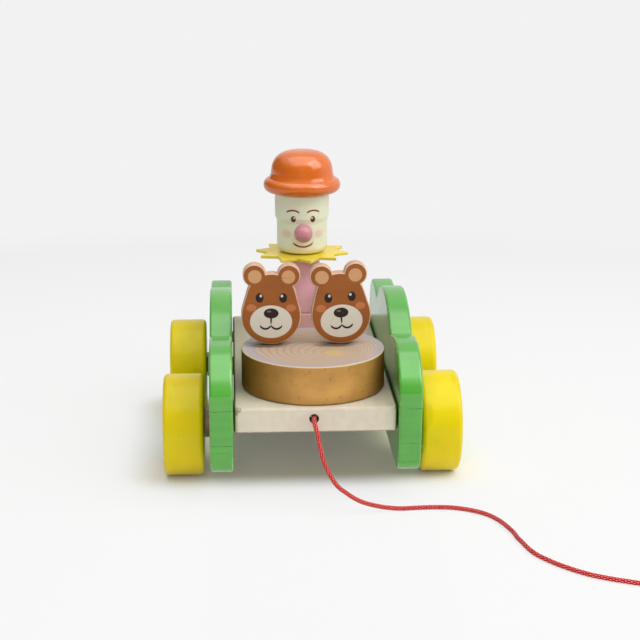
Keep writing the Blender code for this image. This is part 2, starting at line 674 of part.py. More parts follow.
def make_figure(finishes):
    """Turned figure strung on a spindle: foot, bell-shaped body, collar, head, nose and hat."""
    here = (0, FIGURE_Y)
    foot = ring_profile(SPINDLE_BORE, FOOT_DIAMETER / 2, FOOT_HEIGHT, FOOT_EDGE_RADIUS)
    mesh = turned("figure_foot", foot, FIGURE_SIDES, finishes["pale_pink_paint"], ring=True)
    add("figure_foot", mesh, (*here, FOOT_BOTTOM))
    bell = [(SPINDLE_BORE, 0)]
    for share in np.linspace(0, 1, 7):
        drawn_in = share * share * (3 - 2 * share)
        radius = BODY_HEM_RADIUS + (BODY_NECK_RADIUS - BODY_HEM_RADIUS) * drawn_in
        bell.append((radius, share * BODY_HEIGHT))
    bell.append((SPINDLE_BORE, BODY_HEIGHT))
    mesh = turned("figure_body", bell, FIGURE_SIDES, finishes["pink_paint"], ring=True)
    body = add("figure_body", mesh, (*here, BODY_BOTTOM))
    mesh = prism("figure_collar", star_outline(), COLLAR_THICKNESS, finishes["yellow_foam"])
    collar = add("figure_collar", mesh, (*here, COLLAR_BOTTOM + COLLAR_THICKNESS / 2))
    through = 2 * COLLAR_THICKNESS
    drill(collar, "spindle", 2 * SPINDLE_BORE, (*here, COLLAR_BOTTOM - COLLAR_THICKNESS / 2), through)
    make_head(finishes)
    bottom = DECK_BOTTOM + FIT_GAP
    length = HAT_BOTTOM + HAT_BORE_DEPTH - FIT_GAP - bottom
    rod = turned("figure_spindle", rod_profile(SPINDLE_DIAMETER, length), PIN_SIDES, finishes["raw_wood"])
    spindle = add("figure_spindle", rod, (*here, bottom))
    make_pivot(finishes, body, spindle)


def make_head(finishes):
    """Head with a ball nose on a peg, under a bowler hat with a rolled brim."""
    here = (0, FIGURE_Y)
    corners = [
        (SPINDLE_BORE, 0, 0),
        (HEAD_JAW_RADIUS, 0, HEAD_CHIN_RADIUS),
        (HEAD_JAW_RADIUS, HEAD_JAW_HEIGHT, HEAD_STEP),
        (HEAD_BROW_RADIUS, HEAD_JAW_HEIGHT + HEAD_STEP, HEAD_STEP),
        (HEAD_BROW_RADIUS, HEAD_HEIGHT, FOOT_EDGE_RADIUS),
        (SPINDLE_BORE, HEAD_HEIGHT, 0),
    ]
    mesh = turned("figure_head", rounded(corners), FIGURE_SIDES, finishes["cream_paint"], ring=True)
    head = add("figure_head", mesh, (*here, HEAD_BOTTOM))
    nose_z = HEAD_BOTTOM + NOSE_ABOVE_CHIN
    surface = FIGURE_Y - HEAD_JAW_RADIUS
    depth = NOSE_PEG_LENGTH + FIT_GAP
    hole = NOSE_PEG_DIAMETER + 2 * FIT_GAP
    at = (0, surface + depth, nose_z)
    drill(head, "nose_peg", hole, at, 2 * depth, FROM_FRONT, SMALL_SIDES)
    radius, peg = NOSE_DIAMETER / 2, NOSE_PEG_DIAMETER / 2
    meet = math.degrees(math.asin(peg / radius))
    ball = arc((0, radius + FIT_GAP), radius, -90 + meet, 90, 8)
    profile = [(0, -NOSE_PEG_LENGTH), (peg, -NOSE_PEG_LENGTH)] + ball
    mesh = turned("figure_nose", profile, PIN_SIDES, finishes["pink_paint"])
    add("figure_nose", mesh, (0, surface, nose_z), FROM_FRONT)
    brim, crown, roll = BRIM_DIAMETER / 2, CROWN_DIAMETER / 2, BRIM_ROLL_RADIUS
    profile = [(0, HAT_BORE_DEPTH), (SPINDLE_BORE, HAT_BORE_DEPTH), (SPINDLE_BORE, 0)]
    profile += arc((brim - roll, roll), roll, -90, 90, 6)
    profile += [(crown, 2 * roll)]
    dome = arc((crown - CROWN_TOP_RADIUS, HAT_HEIGHT - CROWN_TOP_RADIUS), CROWN_TOP_RADIUS, 0, 90, 5)
    profile += dome + [(0, HAT_HEIGHT)]
    mesh = turned("figure_hat", profile, FIGURE_SIDES, finishes["orange_paint"])
    add("figure_hat", mesh, (*here, HAT_BOTTOM))


def make_pivot(finishes, body, spindle):
    """Cross pin through the figure with a cap on each end, outside the arms."""
    cap_inner = ARM_X + ARM_THICKNESS / 2 + RUN_GAP
    half = cap_inner + PIVOT_CAP_BORE - FIT_GAP
    rod = turned("pivot_pin", rod_profile(PIVOT_PIN_DIAMETER, 2 * half), SMALL_SIDES, finishes["steel"])
    add("pivot_pin", rod, (-half, FIGURE_Y, PIVOT_Z), ACROSS)
    hole = PIVOT_PIN_DIAMETER + 2 * FIT_GAP
    for piece, reach in ((body, BODY_HEM_RADIUS), (spindle, SPINDLE_DIAMETER)):
        at = (-reach - FIT_GAP, FIGURE_Y, PIVOT_Z)
        drill(piece, "pivot_hole", hole, at, 2 * (reach + FIT_GAP), ACROSS, SMALL_SIDES)
    outer, bore = PIVOT_CAP_DIAMETER / 2, PIVOT_PIN_DIAMETER / 2 + FIT_GAP
    corners = [
        (0, PIVOT_CAP_BORE, 0),
        (bore, PIVOT_CAP_BORE, 0),
        (bore, 0, 0),
        (outer, 0, 0),
        (outer, PIVOT_CAP_LENGTH, outer / 2),
        (0, PIVOT_CAP_LENGTH, 0),
    ]
    cap = turned("pivot_cap", rounded(corners, closed=False), SMALL_SIDES, finishes["raw_wood"])
    for side, sign in SIDES:
        at = (sign * cap_inner, FIGURE_Y, PIVOT_Z)
        add(f"pivot_cap_{side}", cap, at, (0.0, sign * math.pi / 2, 0.0))


def make_strikers(finishes):
    """Two bell cranks on the cross pin, each with a bear head on the tenon of its long bar."""
    arm_shape, head_shape = arm_outline(), bear_outline()
    tilts = (BEAR_TILT_LEFT, BEAR_TILT_RIGHT)
    mortise = box_outline(ARM_THICKNESS + 2 * FIT_GAP, TENON_DEPTH + 2 * FIT_GAP)
    depth = TENON_LENGTH + FIT_GAP
    for (side, sign), tilt in zip(SIDES, tilts):
        at = (sign * ARM_X, FIGURE_Y, PIVOT_Z)
        rocker = pivot(f"{side}_striker_line", at)
        name = f"arm_{side}"
        mesh = prism(name, arm_shape, ARM_THICKNESS, finishes["raw_wood"], ARM_EDGE_RADIUS)
        arm = add(name, mesh, at, FROM_SIDE, rocker)
        start = (at[0] - ARM_THICKNESS, FIGURE_Y, PIVOT_Z)
        hole = PIVOT_PIN_DIAMETER + 2 * RUN_GAP
        drill(arm, "pivot_hole", hole, start, 2 * ARM_THICKNESS, ACROSS, SMALL_SIDES)
        name = f"bear_{side}"
        mesh = prism(name, head_shape, BEAR_THICKNESS, finishes["brown_paint"], BEAR_EDGE_RADIUS)
        middle = (at[0] - BEAR_SET_OVER, (BEAR_FRONT + BEAR_BACK) / 2, CHIN_Z + JAW_RADIUS)
        turn = (FROM_FRONT[0], math.radians(tilt), 0.0)
        bear = add(name, mesh, middle, turn, rocker)
        cut(bear, "mortise", prism("mortise", mortise, 2 * depth), (at[0], BEAR_BACK, PIVOT_Z), FROM_FRONT)


# Pull cord


def cord_route():
    """Points of the free cord from the knot, out of the deck, down to the floor and to the coil."""
    drop = CORD_HOLE_Z - CORD_LIE
    # Steps from the mouth of the hole: to the right, ahead, and the share of the drop left.
    hanging = [
        (-0.0002, 0.0040, 0.995),
        (0.0011, 0.0097, 0.887),
        (0.0037, 0.0130, 0.599),
        (0.0090, 0.0145, 0.342),
        (0.0211, 0.0140, 0.116),
        (0.0284, 0.0135, 0.047),
        (0.0340, 0.0131, 0.017),
    ]
    lying = [
        (0.0410, 0.0127),
        (0.0556, 0.0119),
        (0.0667, 0.0137),
        (0.0770, 0.0198),
        (0.0831, 0.0285),
        (0.0873, 0.0416),
        (0.0890, 0.0520),
        (0.0946, 0.0702),
        (0.1113, 0.0892),
        (0.1343, 0.1008),
    ]
    steps = hanging + [(aside, ahead, 0.0) for aside, ahead in lying]
    x, y = CORD_HOLE_OFFSET, DECK_FRONT
    start = (x, KNOT_Y - KNOT_LENGTH / 2 - FIT_GAP, CORD_HOLE_Z)
    outside = [(x + aside, y - ahead, CORD_LIE + drop * left) for aside, ahead, left in steps]
    coil_start, heading = coil_ends()[0]
    end = coil_start - heading * FIT_GAP
    lead = [tuple(end - heading * COIL_RUN_UP * k) for k in (2, 1, 0)]
    return [start, (x, y, CORD_HOLE_Z), *outside, *lead]


def smooth_curve(points, fine=24):
    """Many points on a smooth curve through the given ones, a cubic for each stretch, off the floor."""
    p = np.array(points, float)
    p = np.vstack([2 * p[0] - p[1], p, 2 * p[-1] - p[-2]])
    t = np.linspace(0, 1, fine, endpoint=False)[:, None]
    stretches = []
    for a, b, c, d in zip(p[:-3], p[1:-2], p[2:-1], p[3:]):
        bend = (2 * a - 5 * b + 4 * c - d) * t**2 + (3 * b - a - 3 * c + d) * t**3
        stretches.append(0.5 * (2 * b + (c - a) * t + bend))
    line = np.vstack([*stretches, p[-2:-1]])
    line[:, 2] = np.maximum(line[:, 2], CORD_LIE)
    return line


def length_of(line):
    """Length of a line of points."""
    return float(np.linalg.norm(np.diff(line, axis=0), axis=1).sum())


def evenly(line, step):
    """The line read again at even steps of about that length."""
    run = np.concatenate([[0], np.cumsum(np.linalg.norm(np.diff(line, axis=0), axis=1))])
    at = np.linspace(0, run[-1], max(2, round(run[-1] / step) + 1))
    return np.stack([np.interp(at, run, line[:, k]) for k in range(3)], axis=1)


def coil_turns(per_turn=COIL_POINTS_PER_TURN):
    """Loops of the coil: spiral in on the lower layer, climb, and spiral out on the upper one."""
    inward, climb = COIL_TURNS_IN, COIL_TURNS_CLIMB
    total = inward + climb + COIL_TURNS_OUT
    turns = np.linspace(0, total, round(total * per_turn) + 1)
    radius = COIL_START_RADIUS - COIL_LOOP_STEP * np.minimum(turns, inward)
    radius += COIL_LOOP_STEP * np.maximum(turns - inward - climb, 0)
    share = np.clip((turns - inward) / climb, 0, 1)
    height = COIL_FLOOR + COIL_LAYER_STEP * share * share * (3 - 2 * share)
    angle = -math.pi / 2 + 2 * math.pi * turns
    x = COIL_X + radius * np.cos(angle)
    y = COIL_Y + radius * np.sin(angle)
    return np.stack([x, y, height], axis=1)


def coil_line(per_turn=COIL_POINTS_PER_TURN):
    """The whole coil, with a straight run of one cord diameter at each end, square to the radius."""
    loops = coil_turns(per_turn)
    middle = np.array([COIL_X, COIL_Y, 0.0])
    ends = []
    for place, way in ((loops[0], -1), (loops[-1], 1)):
        out = (place - middle) * (1, 1, 0)
        tangent = np.array([-out[1], out[0], 0.0]) / np.linalg.norm(out)
        ends.append(place + way * CORD_DIAMETER * tangent)
    return np.vstack([ends[0], loops, ends[1]])


def coil_ends():
    """First and last point of the coil, each with the way that the cord goes there."""
    line = coil_line()
    ways = (line[1] - line[0], line[-1] - line[-2])
    return [(Vector(p), Vector(w).normalized()) for p, w in zip((line[0], line[-1]), ways)]


def least_loop_gap():
    """Least clear gap between loops of the coil, measured on close points."""
    step = CORD_DIAMETER / 4
    line = evenly(coil_line(8 * COIL_POINTS_PER_TURN), step)
    # Points less than half a loop apart belong to one bend, not to two loops.
    skip = math.ceil(math.pi * COIL_INNER_RADIUS / step)
    gaps = [np.linalg.norm(line[i + skip :] - line[i], axis=1).min() for i in range(len(line) - skip)]
    return min(gaps) - CORD_DIAMETER


def tube(name, line, resolution, material):
    """A cord as a curve with a round section and filled ends."""
    curve = bpy.data.curves.new(name, "CURVE")
    curve.dimensions = "3D"
    curve.bevel_depth = CORD_DIAMETER / 2
    curve.bevel_resolution = resolution
    curve.use_fill_caps = True
    spline = curve.splines.new("POLY")
    spline.points.add(len(line) - 1)
    for point, place in zip(spline.points, line):
        point.co = (*place, 1.0)
    curve.materials.append(material)
    return add(name, curve)


def knot_mesh(name, material):
    """Pulled-tight knot as a round lump along z, with a waist between its two turns."""
    half = KNOT_LENGTH / 2
    angles = np.linspace(-math.pi / 2, math.pi / 2, 9)[1:-1]
    waist = 1 - KNOT_WAIST * np.cos(2 * angles) ** 2 * np.cos(angles)
    radii = waist * np.cos(angles) ** KNOT_FULLNESS
    radii *= KNOT_WIDTH / 2 / radii.max()
    profile = [(0, -half), *zip(radii, half * np.sin(angles)), (0, half)]
    return turned(name, profile, SMALL_SIDES, material)


def make_tie(finishes):
    """Paper band wrapped round the bundle of loops."""
    clear = CORD_DIAMETER / 2 + TIE_GAP
    low_r, high_r = COIL_INNER_RADIUS - clear, COIL_START_RADIUS + clear
    low_z, high_z = COIL_FLOOR - clear, COIL_FLOOR + COIL_LAYER_STEP + clear
    width, height, wall = high_r - low_r, high_z - low_z, TIE_THICKNESS
    band = box_outline(width + 2 * wall, height + 2 * wall, 2 * wall)
    mesh = prism("cord_tie", band, TIE_WIDTH, finishes["paper_tie"])
    angle = math.radians(TIE_ANGLE)
    middle = (low_r + high_r) / 2
    x, y = COIL_X + middle * math.cos(angle), COIL_Y + middle * math.sin(angle)
    at = (x, y, (low_z + high_z) / 2)
    turn = (FROM_FRONT[0], 0.0, angle)
    tie = add("cord_tie", mesh, at, turn)
    inside = box_outline(width, height, wall)
    cut(tie, "opening", prism("tie_opening", inside, 2 * TIE_WIDTH), at, turn)


def make_cord(finishes):
    """Anchor knot, free cord, coil, tie and end knot."""
    red = finishes["red_cord"]
    at = (CORD_HOLE_OFFSET, KNOT_Y, CORD_HOLE_Z)
    add("cord_anchor_knot", knot_mesh("cord_anchor_knot", red), at, FROM_FRONT)
    free = smooth_curve(cord_route())
    tube("pull_cord", evenly(free, CORD_STEP), 2, red)
    coil = coil_line()
    tube("cord_coil", coil, 1, red)
    make_tie(finishes)
    end, heading = coil_ends()[1]
    middle = end + heading * (KNOT_LENGTH / 2 + FIT_GAP)
    rest = COIL_FLOOR + CORD_DIAMETER / 2 + FIT_GAP + KNOT_WIDTH / 2
    turn = heading.to_track_quat("Z", "Y").to_euler()
    add("cord_end_knot", knot_mesh("cord_end_knot", red), (middle.x, middle.y, rest), turn)
    gap = least_loop_gap()
    coiled = length_of(coil)
    total = length_of(free) + coiled
    print(f"cord {total:.3f} m, {coiled:.3f} m of it coiled; least loop gap {gap * 1000:.2f} mm")
    if gap <= LEAST_LOOP_GAP:
        print("the loops of the coil are too close")


def main():
    """Build the whole toy."""
    clear_scene()
    finishes = make_finishes()
    make_deck(finishes)
    make_panels(finishes)
    make_running_gear(finishes)
    make_stump(finishes)
    make_figure(finishes)
    make_strikers(finishes)
    make_cord(finishes)


main()
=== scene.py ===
"""Looks of the wooden pull-along toy car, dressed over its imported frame.

Every new piece is worked out on numpy grids, in metres, in the frame of the car: the nose points to
-Y, +X is to the right seen from the front and +Z is up. A turned piece is a profile carried round an
axis, a board is an outline carried round its rounded rim, and the cord is a ring carried along a line.
"""

from __future__ import annotations

import json
import logging
import math
from collections.abc import Iterable, Sequence
from dataclasses import dataclass, field, replace
from enum import Enum

import bmesh
import bpy
import numpy as np
from mathutils import Matrix, Vector

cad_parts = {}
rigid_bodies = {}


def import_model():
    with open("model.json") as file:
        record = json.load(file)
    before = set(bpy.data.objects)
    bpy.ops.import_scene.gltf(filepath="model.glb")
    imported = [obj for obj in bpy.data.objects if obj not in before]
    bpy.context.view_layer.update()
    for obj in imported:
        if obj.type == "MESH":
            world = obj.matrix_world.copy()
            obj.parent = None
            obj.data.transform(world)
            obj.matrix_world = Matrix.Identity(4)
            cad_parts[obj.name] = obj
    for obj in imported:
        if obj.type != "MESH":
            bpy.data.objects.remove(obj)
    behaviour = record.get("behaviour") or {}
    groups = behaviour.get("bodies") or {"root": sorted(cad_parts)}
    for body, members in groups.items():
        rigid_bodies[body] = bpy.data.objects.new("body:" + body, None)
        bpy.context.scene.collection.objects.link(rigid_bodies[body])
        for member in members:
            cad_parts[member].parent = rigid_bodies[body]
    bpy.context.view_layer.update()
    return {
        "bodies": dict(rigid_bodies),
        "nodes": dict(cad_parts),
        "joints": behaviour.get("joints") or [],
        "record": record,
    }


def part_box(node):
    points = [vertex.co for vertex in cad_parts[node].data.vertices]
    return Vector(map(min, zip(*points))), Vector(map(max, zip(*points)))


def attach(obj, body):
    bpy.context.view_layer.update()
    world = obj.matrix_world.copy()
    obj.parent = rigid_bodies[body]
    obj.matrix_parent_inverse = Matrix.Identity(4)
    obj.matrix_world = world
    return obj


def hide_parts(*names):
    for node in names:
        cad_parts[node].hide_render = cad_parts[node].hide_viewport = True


LOG = logging.getLogger("toy_car")

Rgb = tuple[int, int, int]
Point = tuple[float, float, float]
Socket = bpy.types.NodeSocket
SIDES = (("left", -1), ("right", 1))
ENDS = ("front", "rear")

SAME_POINT = 1e-7  # points closer than this are one point
FLAT_RUN = 0.15  # straight run kept beside a rounded corner, as a share of its radius
EDGE_STEPS = 6  # points on the quarter circle of a board's edge
LEAST_MITRE = 0.45  # least cosine of a mitre, so that a sharp corner isn't drawn in too far
SHARP_ANGLE = 40.0  # degrees past which an edge is shaded sharp
CORD_SIDES = 32  # points round a cord
SPOT_SOFT = 0.00012  # half width of the soft edge of a painted spot
STROKE_SOFT = 0.00008  # half width of the soft edge of a painted line


class Facing(Enum):
    """Directions in the car's frame of a shape's own x, y and z."""

    UPRIGHT = ((1, 0, 0), (0, 1, 0), (0, 0, 1))
    ACROSS = ((0, 1, 0), (0, 0, 1), (1, 0, 0))
    LEFTWARD = ((0, 1, 0), (0, 0, -1), (-1, 0, 0))
    FORWARD = ((1, 0, 0), (0, 0, 1), (0, -1, 0))


# Lines and outlines


def srgb(colour: Rgb) -> tuple[float, float, float, float]:
    """Linear colour with alpha: v / 12.92 for dark values, ((v + 0.055) / 1.055) ^ 2.4 for others.

    Args:
        colour: Red, green and blue in sRGB, from 0 to 255.

    Returns:
        The linear colour.
    """
    share = np.array(colour, float) / 255
    low, high = share / 12.92, ((share + 0.055) / 1.055) ** 2.4
    return (*np.where(share <= 0.04045, low, high).tolist(), 1.0)


def shade(colour: Rgb, by: float) -> Rgb:
    """The colour made darker or lighter by a factor on its sRGB values."""
    return tuple(min(255, round(c * by)) for c in colour)


def arc(centre: Sequence[float], radius: float, start: float, end: float, count: int) -> np.ndarray:
    """Points on a circle: centre + radius (cos a, sin a) for even angles a.

    Args:
        centre: Middle of the circle.
        radius: Radius of the circle.
        start: First angle in degrees.
        end: Last angle in degrees.
        count: Number of points, both ends included.

    Returns:
        Points as rows of x and y.
    """
    angle = np.radians(np.linspace(start, end, count))
    return np.asarray(centre, float) + radius * np.stack([np.cos(angle), np.sin(angle)], axis=1)


def bulge(start: Sequence[float], end: Sequence[float], rise: float, count: int) -> np.ndarray:
    """Arc from start to end that swells to the right of the way it goes.

    The half chord h and the rise r give the circle's radius (h h + r r) / 2 r.

    Args:
        start: First point.
        end: Last point.
        rise: Height of the arc over its chord.
        count: Number of points, both ends included.

    Returns:
        Points as rows of x and y.
    """
    a, b = np.asarray(start, float), np.asarray(end, float)
    half = np.linalg.norm(b - a) / 2
    along = (b - a) / (2 * half)
    outward = np.array([along[1], -along[0]])
    radius = (half**2 + rise**2) / (2 * rise)
    centre = (a + b) / 2 - outward * (radius - rise)
    reach = math.atan2(half, radius - rise)
    angle = np.linspace(-reach, reach, count)[:, None]
    return centre + radius * (outward * np.cos(angle) + along * np.sin(angle))


def chain(*runs: np.ndarray) -> np.ndarray:
    """Runs of points laid end to end, with each repeated point left out.

    Args:
        runs: Runs of points, a point to a row.

    Returns:
        The points of all runs.
    """
    line = np.vstack(runs)
    step = np.linalg.norm(np.diff(line, axis=0), axis=1)
    return line[np.concatenate([[True], step > SAME_POINT])]


def rounded(corners: Sequence[Point], closed: bool, steps: int = 6) -> tuple[np.ndarray, np.ndarray]:
    """Corners joined by straight runs, each radius an arc tangent to both of its runs.

    A point on each run just before and after an arc keeps the flat beside it flat when shaded.

    Args:
        corners: Corners as x, y and radius.
        closed: Whether the last corner joins the first.
        steps: Chords of each arc.

    Returns:
        Points as rows of x and y, and a mark that is 1 in the middle of each arc and 0 off it.
    """
    runs, marks = [], []
    place = np.array([c[:2] for c in corners], float)
    for i, (_, _, radius) in enumerate(corners):
        if radius == 0 or (not closed and i in (0, len(corners) - 1)):
            runs.append(place[i : i + 1])
            marks.append(np.zeros(1))
            continue
        back = place[i - 1] - place[i]
        ahead = place[(i + 1) % len(corners)] - place[i]
        back, ahead = back / np.linalg.norm(back), ahead / np.linalg.norm(ahead)
        half = math.acos(float(np.clip(back @ ahead, -1, 1))) / 2
        middle = (back + ahead) / np.linalg.norm(back + ahead)
        centre = place[i] + middle * radius / math.sin(half)
        first, last = (place[i] + way * radius / math.tan(half) for way in (back, ahead))
        start = math.atan2(*(first - centre)[::-1])
        sweep = (math.atan2(*(last - centre)[::-1]) - start + math.pi) % (2 * math.pi) - math.pi
        bend = arc(centre, radius, math.degrees(start), math.degrees(start + sweep), steps + 1)
        ease = FLAT_RUN * radius
        runs.append(np.vstack([first + back * ease, bend, last + ahead * ease]))
        marks.append(np.concatenate([[0], np.sin(np.linspace(0, np.pi, steps + 1)), [0]]))
    return np.vstack(runs), np.concatenate(marks)


def smooth_line(points: Sequence[Point], floor: float, fine: int = 40) -> np.ndarray:
    """Many points on a smooth curve through the given ones, kept off the floor.

    Each stretch is the cubic whose ends have half the step between their neighbours as slopes.

    Args:
        points: Points that the curve goes through.
        floor: Least height of the curve.
        fine: Points in each stretch.

    Returns:
        Points as rows of x, y and z.
    """
    p = np.array(points, float)
    p = np.vstack([2 * p[0] - p[1], p, 2 * p[-1] - p[-2]])
    a, b, c, d = (p[k : len(p) - 3 + k, None] for k in range(4))
    t = np.linspace(0, 1, fine, endpoint=False)[None, :, None]
    bend = (2 * a - 5 * b + 4 * c - d) * t**2 + (3 * b - a - 3 * c + d) * t**3
    line = np.vstack([(0.5 * (2 * b + (c - a) * t + bend)).reshape(-1, 3), p[-2]])
    line[:, 2] = np.maximum(line[:, 2], floor)
    return line


def length_of(line: np.ndarray) -> float:
    """Length of a line of points."""
    return float(np.linalg.norm(np.diff(line, axis=0), axis=1).sum())


def evenly(line: np.ndarray, step: float) -> np.ndarray:
    """The line read again at even steps: each coordinate interpolated over the length run so far.

    Args:
        line: Points as rows of x, y and z.
        step: Length of a step, which is rounded to fit the line.

    Returns:
        Points at even steps along the line.
    """
    run = np.concatenate([[0], np.cumsum(np.linalg.norm(np.diff(line, axis=0), axis=1))])
    at = np.linspace(0, run[-1], max(2, round(run[-1] / step) + 1))
    return np.stack([np.interp(at, run, line[:, k]) for k in range(3)], axis=1)


# Meshes


class Skin:
    """Grids of points that are gathered into one closed mesh."""

    def __init__(self) -> None:
        """Start with no points."""
        self.points: list[np.ndarray] = []
        self.marks: dict[str, list[np.ndarray]] = {"rim": [], "face": []}
        self.faces: list[list[int]] = []
        self.smooth: list[bool] = []
        self.count = 0

    def grid(
        self,
        points: np.ndarray,
        rim: np.ndarray | float = 0.0,
        face: np.ndarray | float = 0.0,
        wrap_rows: bool = False,
        wrap_columns: bool = True,
    ) -> np.ndarray:
        """Lay a face between each four neighbours of a grid.

        Args:
            points: Rows by columns of x, y and z.
            rim: Mark of worn edges, one value or one for each row or point.
            face: Mark of the printed side, in the same form.
            wrap_rows: Whether the last row joins the first.
            wrap_columns: Whether the last column joins the first.

        Returns:
            Index of each point, as rows by columns.
        """
        rows, columns = points.shape[:2]
        index = self.count + np.arange(rows * columns).reshape(rows, columns)
        lattice = np.vstack([index, index[:1]]) if wrap_rows else index
        lattice = np.hstack([lattice, lattice[:, :1]]) if wrap_columns else lattice
        corners = lattice[:-1, :-1], lattice[:-1, 1:], lattice[1:, 1:], lattice[1:, :-1]
        quads = np.stack(corners, axis=-1).reshape(-1, 4).tolist()
        self.faces += quads
        self.smooth += [True] * len(quads)
        self.points.append(points.reshape(-1, 3))
        for name, mark in (("rim", rim), ("face", face)):
            mark = np.asarray(mark, float)
            mark = mark[:, None] if mark.ndim == 1 else mark
            self.marks[name].append(np.broadcast_to(mark, (rows, columns)).ravel())
        self.count += rows * columns
        return index

    def cap(self, ring: np.ndarray) -> None:
        """Close a ring of points with one flat face."""
        self.faces.append(ring.tolist())
        self.smooth.append(False)

    def mesh(self, name: str) -> bpy.types.Mesh:
        """Gather the grids into a mesh whose doubles are merged and whose faces point out.

        Args:
            name: Name of the mesh.

        Returns:
            The mesh, with its marks as attributes of its points.
        """
        mesh = bpy.data.meshes.new(name)
        mesh.from_pydata(np.vstack(self.points).tolist(), [], self.faces)
        mesh.polygons.foreach_set("use_smooth", np.array(self.smooth, bool))
        for mark, runs in self.marks.items():
            layer = mesh.attributes.new(mark, "FLOAT", "POINT")
            layer.data.foreach_set("value", np.concatenate(runs).astype(np.float32))
        bm = bmesh.new()
        bm.from_mesh(mesh)
        bmesh.ops.remove_doubles(bm, verts=bm.verts, dist=SAME_POINT)
        bmesh.ops.recalc_face_normals(bm, faces=bm.faces)
        bm.to_mesh(mesh)
        bm.free()
        mesh.set_sharp_from_angle(angle=math.radians(SHARP_ANGLE))
        return mesh


@dataclass(frozen=True)
class Place:
    """Where a shape goes and which way it faces."""

    origin: Point
    axes: tuple[Point, Point, Point] = Facing.UPRIGHT.value

    def carry(self, points: np.ndarray) -> np.ndarray:
        """Points of the shape in the car's frame: origin + x X + y Y + z Z."""
        return points @ np.array(self.axes, float) + np.array(self.origin, float)


def turned(profile: np.ndarray, rim: np.ndarray, place: Place, sides: int, ring: bool) -> Skin:
    """A profile of radius and height carried round the z axis: (r cos a, r sin a, h).

    Args:
        profile: Points as rows of radius and height.
        rim: Mark of worn edges for each point.
        place: Where the piece goes.
        sides: Points round the axis.
        ring: Whether the profile closes on itself.

    Returns:
        The closed skin.
    """
    angle = np.linspace(0, 2 * np.pi, sides, endpoint=False)[None, :]
    radius, height = profile[:, :1], profile[:, 1:]
    flat = np.broadcast_to(height, (len(profile), sides))
    skin = Skin()
    skin.grid(
        place.carry(np.stack([radius * np.cos(angle), radius * np.sin(angle), flat], axis=-1)),
        rim=rim,
        wrap_rows=ring,
    )
    return skin


def inset(outline: np.ndarray, by: float) -> np.ndarray:
    """A closed outline moved inwards along its mitred normals: p - by m / (m n).

    The mitre m halves the angle between the normals of the two runs that meet in p, and n is one of them.

    Args:
        outline: Closed outline, counter-clockwise, as rows of x and y.
        by: Distance between the old and the new runs.

    Returns:
        The moved outline.
    """
    ahead = np.roll(outline, -1, axis=0) - outline
    ahead /= np.linalg.norm(ahead, axis=1, keepdims=True)
    out_next = np.stack([ahead[:, 1], -ahead[:, 0]], axis=1)
    out_last = np.roll(out_next, 1, axis=0)
    middle = out_next + out_last
    middle /= np.linalg.norm(middle, axis=1, keepdims=True)
    stretch = np.clip((middle * out_next).sum(axis=1, keepdims=True), LEAST_MITRE, 1)
    return outline - by * middle / stretch


def board(outline: np.ndarray, thick: float, edge: float, place: Place, border: float = 0.0) -> Skin:
    """An outline carried round a rim: up the wall, and in along a quarter circle at both faces.

    Args:
        outline: Closed outline, counter-clockwise, as rows of x and y.
        thick: Thickness along z, centred on the outline's plane.
        edge: Radius of the rounded edges.
        place: Where the board goes.
        border: Width of a band inside the front edge, over which the mark "face" goes from a half to 1.

    Returns:
        The closed skin.
    """
    angle = np.radians(np.linspace(0, 90, EDGE_STEPS))
    ease = FLAT_RUN * edge
    drawn_in = np.concatenate([edge * (1 - np.cos(angle)), [edge + max(border, ease)]])
    height = np.concatenate([thick / 2 - edge + edge * np.sin(angle), [thick / 2]])
    drawn_in = np.concatenate([drawn_in[::-1], [0, 0], drawn_in])
    height = np.concatenate([-height[::-1], [-thick / 2 + edge + ease, thick / 2 - edge - ease], height])
    rim = np.concatenate([[0], np.sin(2 * angle[::-1]), [0, 0], np.sin(2 * angle), [0]])
    face = np.concatenate([np.zeros(len(angle) + 3), angle / np.pi, [1]])
    rings = np.stack([inset(outline, by) for by in drawn_in])
    layers = np.broadcast_to(height[:, None, None], (*rings.shape[:2], 1))
    skin = Skin()
    index = skin.grid(place.carry(np.concatenate([rings, layers], axis=2)), rim=rim, face=face)
    skin.cap(index[0])
    skin.cap(index[-1])
    return skin


@dataclass(frozen=True)
class Plait:
    """Relief of a plaited cord: two families of strands that wind opposite ways and cross."""

    strands: int = 3
    pitch: float = 0.0050
    depth: float = 0.00018

    def relief(self, along: np.ndarray, round_: np.ndarray) -> np.ndarray:
        """Height of the strands: the root of |sin p sin q|, p and q the two windings.

        Args:
            along: Length along the cord.
            round_: Angle round the cord.

        Returns:
            Height from 0 in the grooves to 1 on the crests.
        """
        turn = 2 * np.pi * along / self.pitch
        p, q = self.strands * round_ + turn, self.strands * round_ - turn
        return np.sqrt(np.abs(np.sin(p) * np.sin(q)))


